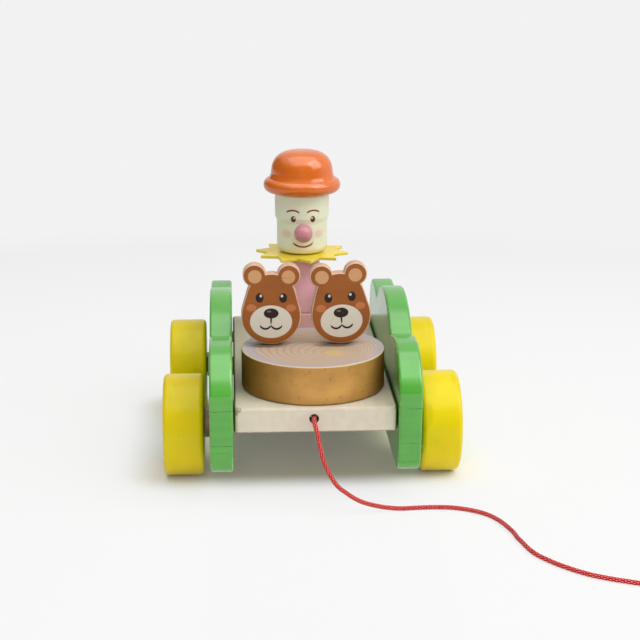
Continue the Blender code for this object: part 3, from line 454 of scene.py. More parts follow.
def tube(line: np.ndarray, radius: float, up: Sequence[float], plait: Plait, closed: bool = False) -> Skin:
    """A plaited ring carried along a line: point + r (side cos a + top sin a).

    Side is level with the plane that up is square to, top is square to side and to the line.

    Args:
        line: Points of the line, close together.
        radius: Radius over the strands.
        up: Direction that the line never runs along.
        plait: Relief of the strands.
        closed: Whether the line closes on itself.

    Returns:
        The closed skin, whose mark "rim" is 1 in the grooves of the plait.
    """
    if closed:
        way = np.roll(line, -1, axis=0) - np.roll(line, 1, axis=0)
    else:
        way = np.gradient(line, axis=0)
    way /= np.linalg.norm(way, axis=1, keepdims=True)
    side = np.cross(np.asarray(up, float), way)
    side /= np.linalg.norm(side, axis=1, keepdims=True)
    top = np.cross(way, side)
    step = np.linalg.norm(np.diff(line, axis=0), axis=1)
    along = np.concatenate([[0], np.cumsum(step)])[:, None]
    angle = np.linspace(0, 2 * np.pi, CORD_SIDES, endpoint=False)[None, :]
    high = plait.relief(along, angle)
    reach = (radius - plait.depth * (1 - high))[..., None]
    ring = side[:, None] * np.cos(angle)[..., None] + top[:, None] * np.sin(angle)[..., None]
    skin = Skin()
    index = skin.grid(line[:, None] + reach * ring, rim=1 - high, wrap_rows=closed)
    if not closed:
        skin.cap(index[0])
        skin.cap(index[-1])
    return skin


# Finishes


class Graph:
    """Node tree of one finish, with short calls for the nodes that the finishes share.

    The scale of a noise is in clouds to the metre, and the limits of an ease are values of what it eases.
    """

    def __init__(self, name: str) -> None:
        """Start a material whose patterns are fixed to its piece.

        Args:
            name: Name of the material.
        """
        self.material = bpy.data.materials.new(name)
        self.material.use_nodes = True
        self.tree = self.material.node_tree
        self.shader = self.tree.nodes["Principled BSDF"]
        self.place = self.node("ShaderNodeTexCoord").outputs["Object"]

    @classmethod
    def over(cls, tree: bpy.types.NodeTree) -> "Graph":
        """The same calls over a world's tree, where a place is a direction.

        Args:
            tree: Node tree of the world.

        Returns:
            The graph, which has no shader of its own.
        """
        graph = cls.__new__(cls)
        graph.tree = tree
        graph.place = graph.node("ShaderNodeTexCoord").outputs["Object"]
        return graph

    def feed(self, socket: Socket, value: Socket | float | Sequence[float]) -> None:
        """Link a socket, or set its own value.

        Args:
            socket: Input of a node.
            value: Output that feeds it, or a constant.
        """
        if isinstance(value, bpy.types.NodeSocket):
            self.tree.links.new(value, socket)
        else:
            socket.default_value = value

    def node(self, kind: str, inputs: dict | None = None, **settings: object) -> bpy.types.Node:
        """Add a node.

        Args:
            kind: Blender's name of the node.
            inputs: Value or link of each input, by name or number.
            settings: Properties of the node.

        Returns:
            The node.
        """
        made = self.tree.nodes.new(kind)
        for key, value in settings.items():
            setattr(made, key, value)
        for key, value in (inputs or {}).items():
            self.feed(made.inputs[key], value)
        return made

    def math(self, operation: str, *values: Socket | float) -> Socket:
        """One step of arithmetic."""
        return self.node("ShaderNodeMath", dict(enumerate(values)), operation=operation).outputs[0]

    def total(self, *values: Socket | float) -> Socket:
        """Sum of several values.

        Args:
            values: Outputs or constants.

        Returns:
            Their sum.
        """
        sum_ = values[0]
        for value in values[1:]:
            sum_ = self.math("ADD", sum_, value)
        return sum_

    def times(self, a: Socket | float, b: Socket | float) -> Socket:
        """Product of two values."""
        return self.math("MULTIPLY", a, b)

    def length(self, *parts: Socket) -> Socket:
        """Length of a vector: the root of the sum of its squared parts."""
        return self.math("SQRT", self.total(*(self.times(part, part) for part in parts)))

    def ease(self, value: Socket, low: float, high: float) -> Socket:
        """Smooth step from 0 at low to 1 at high; high may be the lesser of the two."""
        inputs = {"Value": value, "From Min": low, "From Max": high}
        return self.node("ShaderNodeMapRange", inputs, interpolation_type="SMOOTHSTEP").outputs[0]

    def mark(self, name: str) -> Socket:
        """A mark that the piece's points carry."""
        return self.node("ShaderNodeAttribute", attribute_name=name).outputs["Fac"]

    def moved(self, centre: Sequence[float], turn: float = 0.0) -> tuple[Socket, Socket, Socket]:
        """Place on the piece from a centre, turned about the car's length.

        Args:
            centre: The new middle.
            turn: Angle in degrees, clockwise seen from the front.

        Returns:
            The three coordinates.
        """
        from_centre = self.node("ShaderNodeVectorMath", {0: self.place, 1: centre}, operation="SUBTRACT")
        inputs = {"Vector": from_centre.outputs[0], "Angle": -math.radians(turn)}
        spun = self.node("ShaderNodeVectorRotate", inputs, rotation_type="Y_AXIS")
        return tuple(self.node("ShaderNodeSeparateXYZ", {0: spun.outputs[0]}).outputs)

    def noise(self, scale: Sequence[float], detail: float = 2.0, seed: float = 0.0) -> Socket:
        """Cloudy pattern with its own count of clouds to the metre along each axis.

        Args:
            scale: Clouds to the metre along x, y and z.
            detail: Steps of finer clouds.
            seed: Shift of the pattern.

        Returns:
            Values round a half.
        """
        inputs = {"Vector": self.place, "Location": (seed, seed, seed), "Scale": scale}
        stretched = self.node("ShaderNodeMapping", inputs).outputs[0]
        inputs = {"Vector": stretched, "Scale": 1.0, "Detail": detail}
        return self.node("ShaderNodeTexNoise", inputs).outputs[0]

    def mix(self, share: Socket | float, a: Socket | Rgb, b: Socket | Rgb) -> Socket:
        """Colour a going over to colour b."""
        a, b = (srgb(c) if isinstance(c, tuple) else c for c in (a, b))
        return self.node("ShaderNodeMix", {0: share, 6: a, 7: b}, data_type="RGBA").outputs[2]

    def coats(self, ground: Socket, coats: Iterable[tuple[Socket, Rgb]]) -> Socket:
        """Coats of paint laid on a ground one after another.

        Args:
            ground: Colour under the coats.
            coats: Share and colour of each coat.

        Returns:
            The painted colour.
        """
        for share, colour in coats:
            ground = self.mix(share, ground, colour)
        return ground

    def oval(self, x: Socket, y: Socket, centre: Sequence[float], size: Sequence[float]) -> Socket:
        """Distance from the middle of an oval, 1 on its edge: the length of (x / w, y / h).

        Args:
            x: First coordinate.
            y: Second coordinate.
            centre: Middle of the oval.
            size: Half width and half height.

        Returns:
            The distance.
        """
        parts = []
        for value, middle, half in zip((x, y), centre, size):
            parts.append(self.math("DIVIDE", self.math("SUBTRACT", value, middle), half))
        return self.length(*parts)

    def spot(self, x: Socket, y: Socket, centre: Sequence[float], size: Sequence[float]) -> Socket:
        """Share of paint inside an oval with a crisp edge."""
        soft = SPOT_SOFT / min(size)
        return self.ease(self.oval(x, y, centre, size), 1 + soft, 1 - soft)

    def stroke(
        self, x: Socket, y: Socket, centre: Sequence[float], size: Sequence[float], line: float, below: bool
    ) -> Socket:
        """Share of paint on the lower or the upper part of an oval's outline, thinning to its ends.

        It is full where the way off the outline is less than half the line.

        Args:
            x: First coordinate.
            y: Second coordinate.
            centre: Middle of the oval.
            size: Half width and half height.
            line: Width of the line.
            below: Whether it is the lower part.

        Returns:
            The share of paint.
        """
        off = self.math("ABSOLUTE", self.math("SUBTRACT", self.oval(x, y, centre, size), 1.0))
        off = self.times(off, min(size))
        drop = self.math("SUBTRACT", y, centre[1])
        drop = self.math("DIVIDE", drop, -size[1] if below else size[1])
        half = self.times(self.ease(drop, 0.25, 0.75), line / 2)
        return self.ease(self.math("SUBTRACT", off, half), STROKE_SOFT, -STROKE_SOFT)

    def relief(self, height: Socket, depth: float) -> None:
        """Give the surface a fine relief of that depth in metres."""
        inputs = {"Strength": 1.0, "Distance": depth, "Height": height}
        self.feed(self.shader.inputs["Normal"], self.node("ShaderNodeBump", inputs).outputs[0])

    def close(self, colour: Socket, roughness: Socket | float, **constants: float) -> bpy.types.Material:
        """Feed the shader and hand over the material.

        Args:
            colour: Base colour.
            roughness: Roughness.
            constants: Other inputs of the shader, with _ for each space.

        Returns:
            The finished material.
        """
        self.feed(self.shader.inputs["Base Color"], colour)
        self.feed(self.shader.inputs["Roughness"], roughness)
        for key, value in constants.items():
            self.shader.inputs[key.replace("_", " ")].default_value = value
        return self.material


@dataclass(frozen=True)
class Lacquer:
    """Satin paint on wood: a cloudy tone, faint grain, dust, and thin paint as painted highlight on the
    edges.
    """

    slot: str
    colour: Rgb
    thin_and_highlight: Rgb
    grain: tuple[float, float, float] = (30.0, 30.0, 260.0)
    roughness: float = 0.28
    gloss: float = 0.5
    wear: float = 1.3
    contrast: float = 0.03

    def paint(self, graph: Graph) -> Socket:
        """The colour in two tones: half fine grain and half clouds, eased into light and dark.

        Args:
            graph: Node tree of the finish.

        Returns:
            Colour of the unworn paint.
        """
        fine, cloud = graph.noise(self.grain, 4.0), graph.noise((45, 45, 45), 2.0, 3.0)
        tone = graph.total(graph.times(fine, 0.5), graph.times(cloud, 0.5))
        dark, light = shade(self.colour, 1 - self.contrast), shade(self.colour, 1 + self.contrast)
        return graph.mix(graph.ease(tone, 0.32, 0.68), dark, light)

    def make(self, name: str) -> bpy.types.Material:
        """Paint thins, as a painted highlight too, where rim, noise and patches add up, under lines and
        dust.

        Args:
            name: Name of the material.

        Returns:
            The material.
        """
        graph = Graph(name)
        colour = self.paint(graph)
        ragged, patch = graph.noise((420, 420, 420), 5.0, 7.0), graph.noise((70, 70, 70), 2.0, 9.0)
        rim = graph.ease(graph.mark("rim"), 0.45, 1.0)
        worn_and_lit = graph.total(*(graph.times(part, 0.5) for part in (rim, ragged, patch)))
        # thin paint on worn rims, paler than the paint: partly a painted highlight on the edges
        colour = graph.mix(graph.ease(worn_and_lit, self.wear, self.wear + 0.2), colour, self.thin_and_highlight)
        lines = graph.ease(graph.noise(self.grain, 2.0, 11.0), 0.34, 0.27)
        dust = graph.ease(graph.noise((520, 520, 520), 1.0, 5.0), 0.25, 0.21)
        marks = graph.math("MAXIMUM", graph.times(lines, 6 * self.contrast), graph.times(dust, 0.3))
        colour = graph.mix(marks, colour, shade(self.colour, 0.66))
        peel = graph.noise((120, 120, 120), 2.0, 2.0)
        rough = graph.total(self.roughness - 0.04, graph.times(peel, 0.08), graph.times(rim, 0.04))
        graph.relief(graph.total(peel, graph.times(lines, -8 * self.contrast)), 0.00002)
        return graph.close(colour, rough, Specular_IOR_Level=self.gloss)


@dataclass(frozen=True)
class BoardPaint(Lacquer):
    """Paint over the sawn edge of a board, with hairline cracks between its layers."""

    cracks: tuple[float, ...] = (0.0262, 0.0298, 0.0476)
    crack_sway: float = 0.0008
    crack_widths: tuple[float, float] = (0.00022, 0.00006)
    front: float = -0.0700
    front_depth: float = 0.0040

    def paint(self, graph: Graph) -> Socket:
        """Even paint, then dark lines at some heights of the front edge, swayed and broken by noise.

        Args:
            graph: Node tree of the finish.

        Returns:
            Colour of the unworn paint.
        """
        colour = super().paint(graph)
        _, y, z = graph.moved((0.0, 0.0, 0.0))
        wander = graph.noise((160, 160, 30), 3.0, 12.0)
        edge = graph.ease(y, self.front + self.front_depth, self.front)
        for number, height in enumerate(self.cracks):
            off = graph.total(z, -height, graph.times(wander, 2 * self.crack_sway), -self.crack_sway)
            line = graph.ease(graph.math("ABSOLUTE", off), *self.crack_widths)
            broken = graph.ease(graph.noise((90, 40, 5), 2.0, 20.0 + number), 0.42, 0.56)
            share = graph.times(graph.times(line, broken), edge)
            colour = graph.mix(share, colour, shade(self.colour, 0.45))
        return colour


@dataclass(frozen=True)
class WheelPaint(Lacquer):
    """Paint over a turned wheel, with faint rings that the lathe left on its faces."""

    axle: Point = (0.0, 0.0, 0.0)
    ring_step: float = 0.0017
    ring_sway: float = 0.0012
    ring_share: float = 0.16
    ring_limits: tuple[float, float] = (0.0235, 0.0225)

    def paint(self, graph: Graph) -> Socket:
        """Even paint, then rings round the axle: the sine of the distance from it.

        Args:
            graph: Node tree of the finish.

        Returns:
            Colour of the unworn paint.
        """
        colour = super().paint(graph)
        _, y, z = graph.moved(self.axle)
        off = graph.length(y, z)
        wander = graph.times(graph.noise((90, 90, 90), 2.0, 6.0), self.ring_sway)
        wave = graph.math("SINE", graph.times(graph.total(off, wander), 2 * math.pi / self.ring_step))
        ring = graph.times(graph.ease(wave, 0.1, 1.0), graph.ease(off, *self.ring_limits))
        return graph.mix(graph.times(ring, self.ring_share), colour, shade(self.colour, 0.8))


@dataclass(frozen=True)
class BareWood:
    """Sanded pale wood: long fine pores and soft bands that run along the grain."""

    slot: str = "raw_wood"
    light: Rgb = (226, 200, 163)
    dark: Rgb = (196, 161, 118)
    along: int = 0
    drawn_out: float = 0.06

    def make(self, name: str) -> bpy.types.Material:
        """Two tones in bands, with dark pores where a fine noise is low, both drawn out along the grain.

        Args:
            name: Name of the material.

        Returns:
            The material.
        """
        graph = Graph(name)
        across = [1.0, 1.0, 1.0]
        across[self.along] = self.drawn_out
        band = graph.noise([170 * a for a in across], 2.0)
        pore = graph.noise([1300 * a for a in across], 3.0, 4.0)
        colour = graph.mix(graph.ease(band, 0.3, 0.7), self.light, self.dark)
        deep = graph.ease(pore, 0.42, 0.30)
        colour = graph.mix(graph.times(deep, 0.55), colour, shade(self.dark, 0.72))
        graph.relief(graph.total(pore, graph.times(deep, -0.5)), 0.00008)
        return graph.close(colour, graph.total(0.5, graph.times(pore, 0.2)), Specular_IOR_Level=0.4)


@dataclass(frozen=True)
class Limewash:
    """Thin cream paint on a softwood board: grain that shows through, and corners knocked bare."""

    slot: str = "limewash"
    colour: Rgb = (217, 208, 188)
    grain_tone: Rgb = (211, 200, 180)
    bare: Rgb = (152, 140, 92)
    # painted shade: the dark colour of the seams where the deck meets the boards
    seam_shade: Rgb = (56, 50, 36)
    # painted shade along the deck's bottom edge
    bottom_edge_shade: Rgb = (128, 98, 74)
    # painted shade inside the cord's hole
    bore: Rgb = (58, 36, 28)
    seam_shade_widths: tuple[float, float] = (0.0013, 0.0005)
    low: Point = (0.0, 0.0, 0.0)
    high: Point = (0.0, 0.0, 0.0)
    hole: Point = (0.0, 0.0, 0.0)
    hole_radius: float = 0.0022

    def make(self, name: str) -> bpy.types.Material:
        """Paint in two tones over the grain, pores, chips, and painted shade at seams, bottom edge and bore.

        Args:
            name: Name of the material.

        Returns:
            The material.
        """
        graph = Graph(name)
        grain = graph.noise((260, 9, 260), 4.0)
        cloud = graph.noise((28, 28, 28), 2.0, 2.0)
        tone = graph.total(graph.times(grain, 0.6), graph.times(cloud, 0.4))
        colour = graph.mix(graph.ease(tone, 0.36, 0.66), self.grain_tone, self.colour)
        pore = graph.ease(graph.noise((900, 30, 900), 2.0, 6.0), 0.34, 0.26)
        colour = graph.mix(graph.times(pore, 0.15), colour, shade(self.grain_tone, 0.84))
        ragged = graph.noise((700, 700, 700), 5.0, 8.0)
        chip = 0.0
        for corner, reach in self.chips():
            off = graph.length(*graph.moved(corner))
            near = graph.total(graph.math("DIVIDE", off, -reach), graph.times(ragged, 1.6))
            chip = graph.math("MAXIMUM", chip, graph.ease(near, -0.10, 0.06))
        colour = graph.mix(graph.times(chip, 0.75), colour, self.bare)
        # painted shade: a dark band along the deck's left and right edges, where it meets the boards
        x, _, _ = graph.moved(tuple((a + b) / 2 for a, b in zip(self.low, self.high)))
        half = (self.high[0] - self.low[0]) / 2
        seam_shade = graph.ease(graph.math("ABSOLUTE", x), *(half - width for width in self.seam_shade_widths))
        colour = graph.mix(graph.times(seam_shade, 0.85), colour, self.seam_shade)
        # painted shade: darker in a ragged band along the bottom edge
        _, _, z = graph.moved(self.low)
        bottom = graph.ease(graph.total(z, graph.times(ragged, 0.0006)), 0.0011, 0.0006)
        colour = graph.mix(graph.times(bottom, 0.7), colour, self.bottom_edge_shade)
        # painted shade: dark inside the cord's hole, near its mouth
        x, y, z = graph.moved(self.hole)
        near = graph.ease(graph.length(x, z), self.hole_radius + 0.0002, self.hole_radius)
        bore = graph.times(near, graph.ease(y, 0.006, 0.004))
        colour = graph.mix(graph.times(bore, 0.9), colour, self.bore)
        graph.relief(graph.total(grain, graph.times(pore, -0.6)), 0.00004)
        rough = graph.total(0.46, graph.times(grain, 0.2))
        return graph.close(colour, rough, Specular_IOR_Level=0.2)

    def chips(self) -> tuple[tuple[Point, float], ...]:
        """Corners of the board's top that are knocked bare.

        Returns:
            Each corner with the reach of its chip.
        """
        left, front, _ = self.low
        right, back, top = self.high
        return ((left, front, top), 0.0040), ((right, front, top), 0.0018), ((right, back, top), 0.0030)


@dataclass(frozen=True)
class StumpPrint(Lacquer):
    """Painted tree slice: golden-brown bark, a pale line round the top, and rings round a pith."""

    slot: str = "bark_print"
    colour: Rgb = (196, 146, 76)
    thin_and_highlight: Rgb = (214, 176, 108)
    grain: tuple[float, float, float] = (60.0, 60.0, 420.0)
    roughness: float = 0.44
    gloss: float = 0.25
    centre: Point = (0.0, 0.0, 0.0)
    radius: float = 0.0347
    pith: tuple[float, float] = (0.0110, -0.0130)
    rings: int = 13
    fine_rings: float = 3.1
    # painted shadows of the heads: dark ovals on the top at the foot of each head
    head_shadows: tuple[tuple[float, float], ...] = ()
    head_shadow_size: tuple[float, float] = (0.0115, 0.0046)
    head_shadow: Rgb = (44, 32, 24)
    heart: Rgb = (202, 172, 120)
    wood: Rgb = (192, 168, 143)
    ring_line: Rgb = (156, 143, 142)
    fine_line: Rgb = (174, 150, 126)
    outer_wood: Rgb = (170, 163, 170)
    edge_line: Rgb = (218, 192, 146)
    scratch: Rgb = (206, 166, 100)
    pit: Rgb = (140, 92, 42)
    # painted shade on the stump's left and right flanks
    flank_shade: Rgb = (114, 62, 16)

    def paint(self, graph: Graph) -> Socket:
        """Bark outside, rings on top, and painted shadows of the heads on the top, at the foot of each.

        The rings are nested circles whose middles slide from the pith to the middle of the stump. The
        ring t through a point solves |p - (1 - t) pith| = t radius, with p from the middle.

        Args:
            graph: Node tree of the finish.

        Returns:
            Colour of the unworn paint.
        """
        x, y, z = graph.moved(self.centre)
        px, py = self.pith
        dx, dy = graph.math("SUBTRACT", x, px), graph.math("SUBTRACT", y, py)
        dot = graph.total(graph.times(dx, px), graph.times(dy, py))
        square = graph.total(graph.times(dx, dx), graph.times(dy, dy))
        room = self.radius**2 - px**2 - py**2
        root = graph.math("SQRT", graph.total(graph.times(dot, dot), graph.times(square, room)))
        t = graph.math("DIVIDE", graph.total(dot, root), room)
        wave = graph.noise((70, 70, 1), 2.0)
        t_wavy = graph.total(t, graph.times(wave, 0.08), -0.04)
        swing = graph.math("SINE", graph.times(t_wavy, 2 * math.pi * self.rings))
        fine = graph.math("SINE", graph.times(t_wavy, 2 * math.pi * self.rings * self.fine_rings))
        line = graph.times(graph.ease(swing, 0.25, 0.95), graph.ease(t, 0.06, 0.2))
        edge = graph.ease(graph.length(x, y), self.radius - 0.0009, self.radius - 0.0005)
        coats = [
            (graph.times(line, 0.65), self.ring_line),
            (graph.times(graph.ease(fine, 0.3, 1.0), 0.22), self.fine_line),
            (graph.times(graph.ease(t, 0.82, 0.90), 0.85), self.outer_wood),
            (graph.times(edge, 0.7), self.edge_line),
        ]
        ragged = graph.times(graph.noise((420, 420, 420), 4.0, 15.0), 0.6)
        # painted shadow: a dark ragged oval on the top at the foot of each head
        for middle in self.head_shadows:
            near = graph.total(graph.oval(x, y, middle, self.head_shadow_size), ragged)
            coats.append((graph.times(graph.ease(near, 1.4, 0.7), 0.75), self.head_shadow))
        top = graph.coats(graph.mix(graph.ease(t, 0.05, 0.30), self.heart, self.wood), coats)
        lowered = graph.ease(z, -0.0003, -0.0006)
        return graph.mix(lowered, top, self.bark(graph))

    def bark(self, graph: Graph) -> Socket:
        """Golden brown in clouds, scratches round the side, pits, and painted shade: darker, redder flanks.

        Args:
            graph: Node tree of the finish.

        Returns:
            Colour of the stump's side.
        """
        cloud = graph.ease(graph.noise((38, 38, 60), 3.0, 1.0), 0.30, 0.72)
        scratch = graph.ease(graph.noise((35, 35, 900), 3.0, 9.0), 0.55, 0.72)
        pit = graph.ease(graph.noise((330, 330, 260), 2.0, 4.0), 0.37, 0.30)
        # painted shade: the side darkens towards its right edge and across its left part
        x, _, _ = graph.moved(self.centre)
        right = graph.ease(x, 0.62 * self.radius, self.radius)
        left = graph.ease(x, -0.20 * self.radius, -self.radius)
        coats = [
            (graph.times(scratch, 0.12), self.scratch),
            (graph.times(pit, 0.35), self.pit),
            (graph.times(graph.math("MAXIMUM", right, left), 0.85), self.flank_shade),
        ]
        return graph.coats(graph.mix(cloud, shade(self.colour, 0.86), shade(self.colour, 1.06)), coats)


@dataclass(frozen=True)
class BearPaint(Lacquer):
    """Brown paint with a plain teddy face on the front of the head, and pale wood round the edge."""

    slot: str = "brown_paint"
    colour: Rgb = (152, 86, 32)
    thin_and_highlight: Rgb = (236, 214, 196)
    roughness: float = 0.42
    gloss: float = 0.3
    centre: Point = (0.0, 0.0, 0.0)
    tilt: float = 0.0
    white: Rgb = (214, 205, 190)
    dark: Rgb = (38, 24, 20)
    inner_ear: Rgb = (201, 150, 104)
    cheek: Rgb = (190, 112, 66)
    nose_shine: Rgb = (120, 96, 88)
    pale_wood: Rgb = (222, 184, 160)
    deep_wood: Rgb = (202, 158, 128)
    glue_line: Rgb = (172, 122, 88)
    layer_step: float = 0.0021

    def paint(self, graph: Graph) -> Socket:
        """Brown ground, then inner ears, muzzle, nose, smile, button eyes, cheeks and glints.

        Each spot has its middle and its half size in metres from the middle of the jaw.

        Args:
            graph: Node tree of the finish.

        Returns:
            Colour of the unworn paint.
        """
        x, _, y = graph.moved(self.centre, self.tilt)
        side = graph.math("ABSOLUTE", x)
        coats = [
            (graph.spot(side, y, (0.0081, 0.0194), (0.0033, 0.0033)), self.inner_ear),
            (graph.spot(x, y, (0.0, -0.0030), (0.0102, 0.0082)), self.white),
            (graph.spot(x, y, (0.0, 0.0012), (0.0036, 0.0025)), self.dark),
            (graph.stroke(side, y, (0.0027, -0.0036), (0.0028, 0.0030), 0.0009, True), self.dark),
            (graph.spot(x, y, (0.0, -0.0020), (0.00042, 0.0022)), self.dark),
            (graph.spot(side, y, (0.0057, 0.0089), (0.0019, 0.0024)), self.dark),
            (graph.spot(side, y, (0.0096, 0.0040), (0.0024, 0.0018)), self.cheek),
            (graph.spot(side, y, (0.0051, 0.0099), (0.0006, 0.0007)), self.white),
            (graph.spot(x, y, (-0.0010, 0.0021), (0.0010, 0.0005)), self.nose_shine),
        ]
        face = graph.mark("face")
        border = graph.times(graph.ease(face, 0.95, 0.55), 0.3)
        picture = graph.coats(super().paint(graph), [*coats, (border, shade(self.colour, 0.78))])
        return graph.mix(graph.ease(face, 0.38, 0.46), self.side_wood(graph), picture)

    def side_wood(self, graph: Graph) -> Socket:
        """Pale plywood of the edge and the back, its layers a sine of the depth behind the face.

        Args:
            graph: Node tree of the finish.

        Returns:
            Colour of the plywood.
        """
        _, depth, _ = graph.moved(self.centre)
        layer = graph.math("SINE", graph.times(depth, 2 * math.pi / self.layer_step))
        pale = graph.mix(graph.noise((500, 90, 60), 3.0, 2.0), self.pale_wood, self.deep_wood)
        return graph.mix(graph.times(graph.ease(layer, 0.2, 0.9), 0.4), pale, self.glue_line)


@dataclass(frozen=True)
class HeadPaint(Lacquer):
    """Cream paint with a calm, simple face on the front of the figure's head."""

    slot: str = "cream_paint"
    colour: Rgb = (234, 234, 206)
    thin_and_highlight: Rgb = (240, 236, 220)
    roughness: float = 0.42
    contrast: float = 0.008
    nose: Point = (0.0, 0.0, 0.0)
    cheek: Rgb = (232, 160, 150)
    eye: Rgb = (96, 46, 34)
    glint: Rgb = (240, 236, 226)
    brow: Rgb = (120, 62, 44)
    lips: Rgb = (150, 62, 56)
    face_depth: tuple[float, float] = (0.0125, 0.0115)

    def paint(self, graph: Graph) -> Socket:
        """Cream ground, then warm cheeks, eyes with glints, brows and a smile on the front half.

        Each spot has its middle and its half size in metres from the nose.

        Args:
            graph: Node tree of the finish.

        Returns:
            Colour of the unworn paint.
        """
        ground = super().paint(graph)
        x, depth, y = graph.moved(self.nose)
        side = graph.math("ABSOLUTE", x)
        cheek = graph.ease(graph.oval(side, y, (0.0086, -0.0020), (0.0034, 0.0030)), 1.1, 0.3)
        coats = [
            (graph.times(cheek, 0.45), self.cheek),
            (graph.spot(side, y, (0.0052, 0.0066), (0.0013, 0.0018)), self.eye),
            (graph.spot(side, y, (0.0048, 0.0073), (0.0004, 0.0005)), self.glint),
            (graph.stroke(side, y, (0.0054, 0.0092), (0.0034, 0.0022), 0.0009, False), self.brow),
            (graph.stroke(x, y, (0.0, -0.0050), (0.0056, 0.0036), 0.0009, True), self.lips),
        ]
        picture = graph.coats(ground, coats)
        return graph.mix(graph.ease(depth, *self.face_depth), ground, picture)


@dataclass(frozen=True)
class Foam:
    """Foam sheet with fine cells under a smooth skin."""

    slot: str = "yellow_foam"
    colour: Rgb = (244, 217, 58)
    cells: float = 1900.0

    def make(self, name: str) -> bpy.types.Material:
        """Clouds of two tones, darker at the middle of each cell.

        Args:
            name: Name of the material.

        Returns:
            The material.
        """
        graph = Graph(name)
        inputs = {"Vector": graph.place, "Scale": self.cells}
        cell = graph.node("ShaderNodeTexVoronoi", inputs).outputs["Distance"]
        cloud = graph.noise((60, 60, 60), 2.0)
        colour = graph.mix(cloud, shade(self.colour, 0.96), shade(self.colour, 1.03))
        colour = graph.mix(graph.times(graph.ease(cell, 0.30, 0.05), 0.22), colour, shade(self.colour, 0.84))
        graph.relief(cell, 0.00002)
        rough = graph.total(0.30, graph.times(cloud, 0.12))
        return graph.close(colour, rough, Specular_IOR_Level=0.8)


@dataclass(frozen=True)
class Yarn:
    """Plaited red yarn: painted shade in the grooves, painted highlights on the strands' crests, a soft nap.
    """

    slot: str = "red_cord"
    colour: Rgb = (208, 40, 42)
    # painted highlight on the crests of the strands
    crest: Rgb = (255, 176, 166)
    # painted shade in the grooves between the strands
    groove_shade: Rgb = (136, 14, 22)

    def make(self, name: str) -> bpy.types.Material:
        """Red clouds, pale fibres as painted highlights on the strands' crests, painted shade in the
        grooves.

        Args:
            name: Name of the material.

        Returns:
            The material.
        """
        graph = Graph(name)
        fibre = graph.noise((2600, 2600, 2600), 3.0)
        cloud = graph.noise((120, 120, 120), 2.0, 2.0)
        colour = graph.mix(cloud, shade(self.colour, 0.93), shade(self.colour, 1.07))
        # painted highlight: pale where the strands stand high and the fibres are high
        crest = graph.total(graph.times(graph.mark("rim"), -1.0), graph.times(fibre, 0.6))
        colour = graph.mix(graph.ease(crest, 0.05, 0.25), colour, self.crest)
        # painted shade: dark where the strands lie low
        deep = graph.total(graph.times(graph.mark("rim"), 0.9), graph.times(fibre, 0.2))
        colour = graph.mix(graph.ease(deep, 0.30, 0.80), colour, self.groove_shade)
        graph.relief(fibre, 0.00005)
        rough = graph.total(0.62, graph.times(fibre, 0.25))
        return graph.close(colour, rough, Sheen_Weight=0.15, Sheen_Roughness=0.4, Specular_IOR_Level=0.15)


@dataclass(frozen=True)
class Paper:
    """Uncoated paper band with short fibres and soft creases."""

    slot: str = "paper_tie"
    colour: Rgb = (240, 238, 232)

    def make(self, name: str) -> bpy.types.Material:
        """Pale paper, a little darker along its fibres, with creases in the relief.

        Args:
            name: Name of the material.

        Returns:
            The material.
        """
        graph = Graph(name)
        fibre = graph.noise((1500, 500, 1500), 4.0)
        crease = graph.noise((160, 160, 160), 2.0, 3.0)
        colour = graph.mix(graph.ease(fibre, 0.3, 0.7), self.colour, shade(self.colour, 0.93))
        graph.relief(graph.total(graph.times(fibre, 0.4), crease), 0.00015)
        return graph.close(colour, graph.total(0.7, graph.times(fibre, 0.15)), Specular_IOR_Level=0.3)


@dataclass(frozen=True)
class Steel:
    """Drawn steel wire with fine lines along it and a little dulling."""

    slot: str = "steel"
    colour: Rgb = (186, 188, 190)

    def make(self, name: str) -> bpy.types.Material:
        """Grey in dull clouds, with roughness in lines along the wire.

        Args:
            name: Name of the material.

        Returns:
            The material.
        """
        graph = Graph(name)
        drawn = graph.noise((60, 2200, 2200), 3.0)
        dull = graph.noise((220, 220, 220), 3.0, 5.0)
        colour = graph.mix(dull, self.colour, shade(self.colour, 0.82))
        rough = graph.total(0.22, graph.times(drawn, 0.16), graph.times(dull, 0.10))
        graph.relief(drawn, 0.00002)
        return graph.close(colour, rough, Metallic=1.0)


Finish = Lacquer | BareWood | Limewash | Foam | Yarn | Paper | Steel

TURNED_GRAIN = (40.0, 40.0, 160.0)
GREEN = BoardPaint(
    slot="green_paint",
    colour=(78, 164, 50),
    # pale edges of the boards: thin paint and a painted highlight
    thin_and_highlight=(140, 190, 118),
    grain=(14.0, 10.0, 190.0),
    roughness=0.19,
    gloss=0.9,
    wear=0.98,
    contrast=0.05,
)
YELLOW = WheelPaint(
    slot="yellow_paint",
    colour=(230, 204, 0),
    thin_and_highlight=(240, 230, 140),
    grain=(60.0, 30.0, 30.0),
    roughness=0.30,
    gloss=0.27,
)
ORANGE = Lacquer(
    slot="orange_paint",
    colour=(216, 104, 14),
    thin_and_highlight=(232, 150, 96),
    grain=TURNED_GRAIN,
    roughness=0.20,
    gloss=0.8,
    contrast=0.02,
)
# painted light: the body's pink is lighter than ROSE, the same paint on the nose, to offset the shade on the
# body
LIGHTENED_PINK = Lacquer(
    slot="pink_paint",
    colour=(255, 190, 207),
    thin_and_highlight=(244, 212, 212),
    grain=TURNED_GRAIN,
    roughness=0.34,
    contrast=0.015,
)
ROSE = replace(LIGHTENED_PINK, colour=(208, 138, 148), thin_and_highlight=(238, 204, 204), roughness=0.30)
PALE_PINK = replace(
    LIGHTENED_PINK, slot="pale_pink_paint", colour=(250, 192, 200), thin_and_highlight=(244, 214, 212), roughness=0.36
)
CORD_PLAIT = Plait()


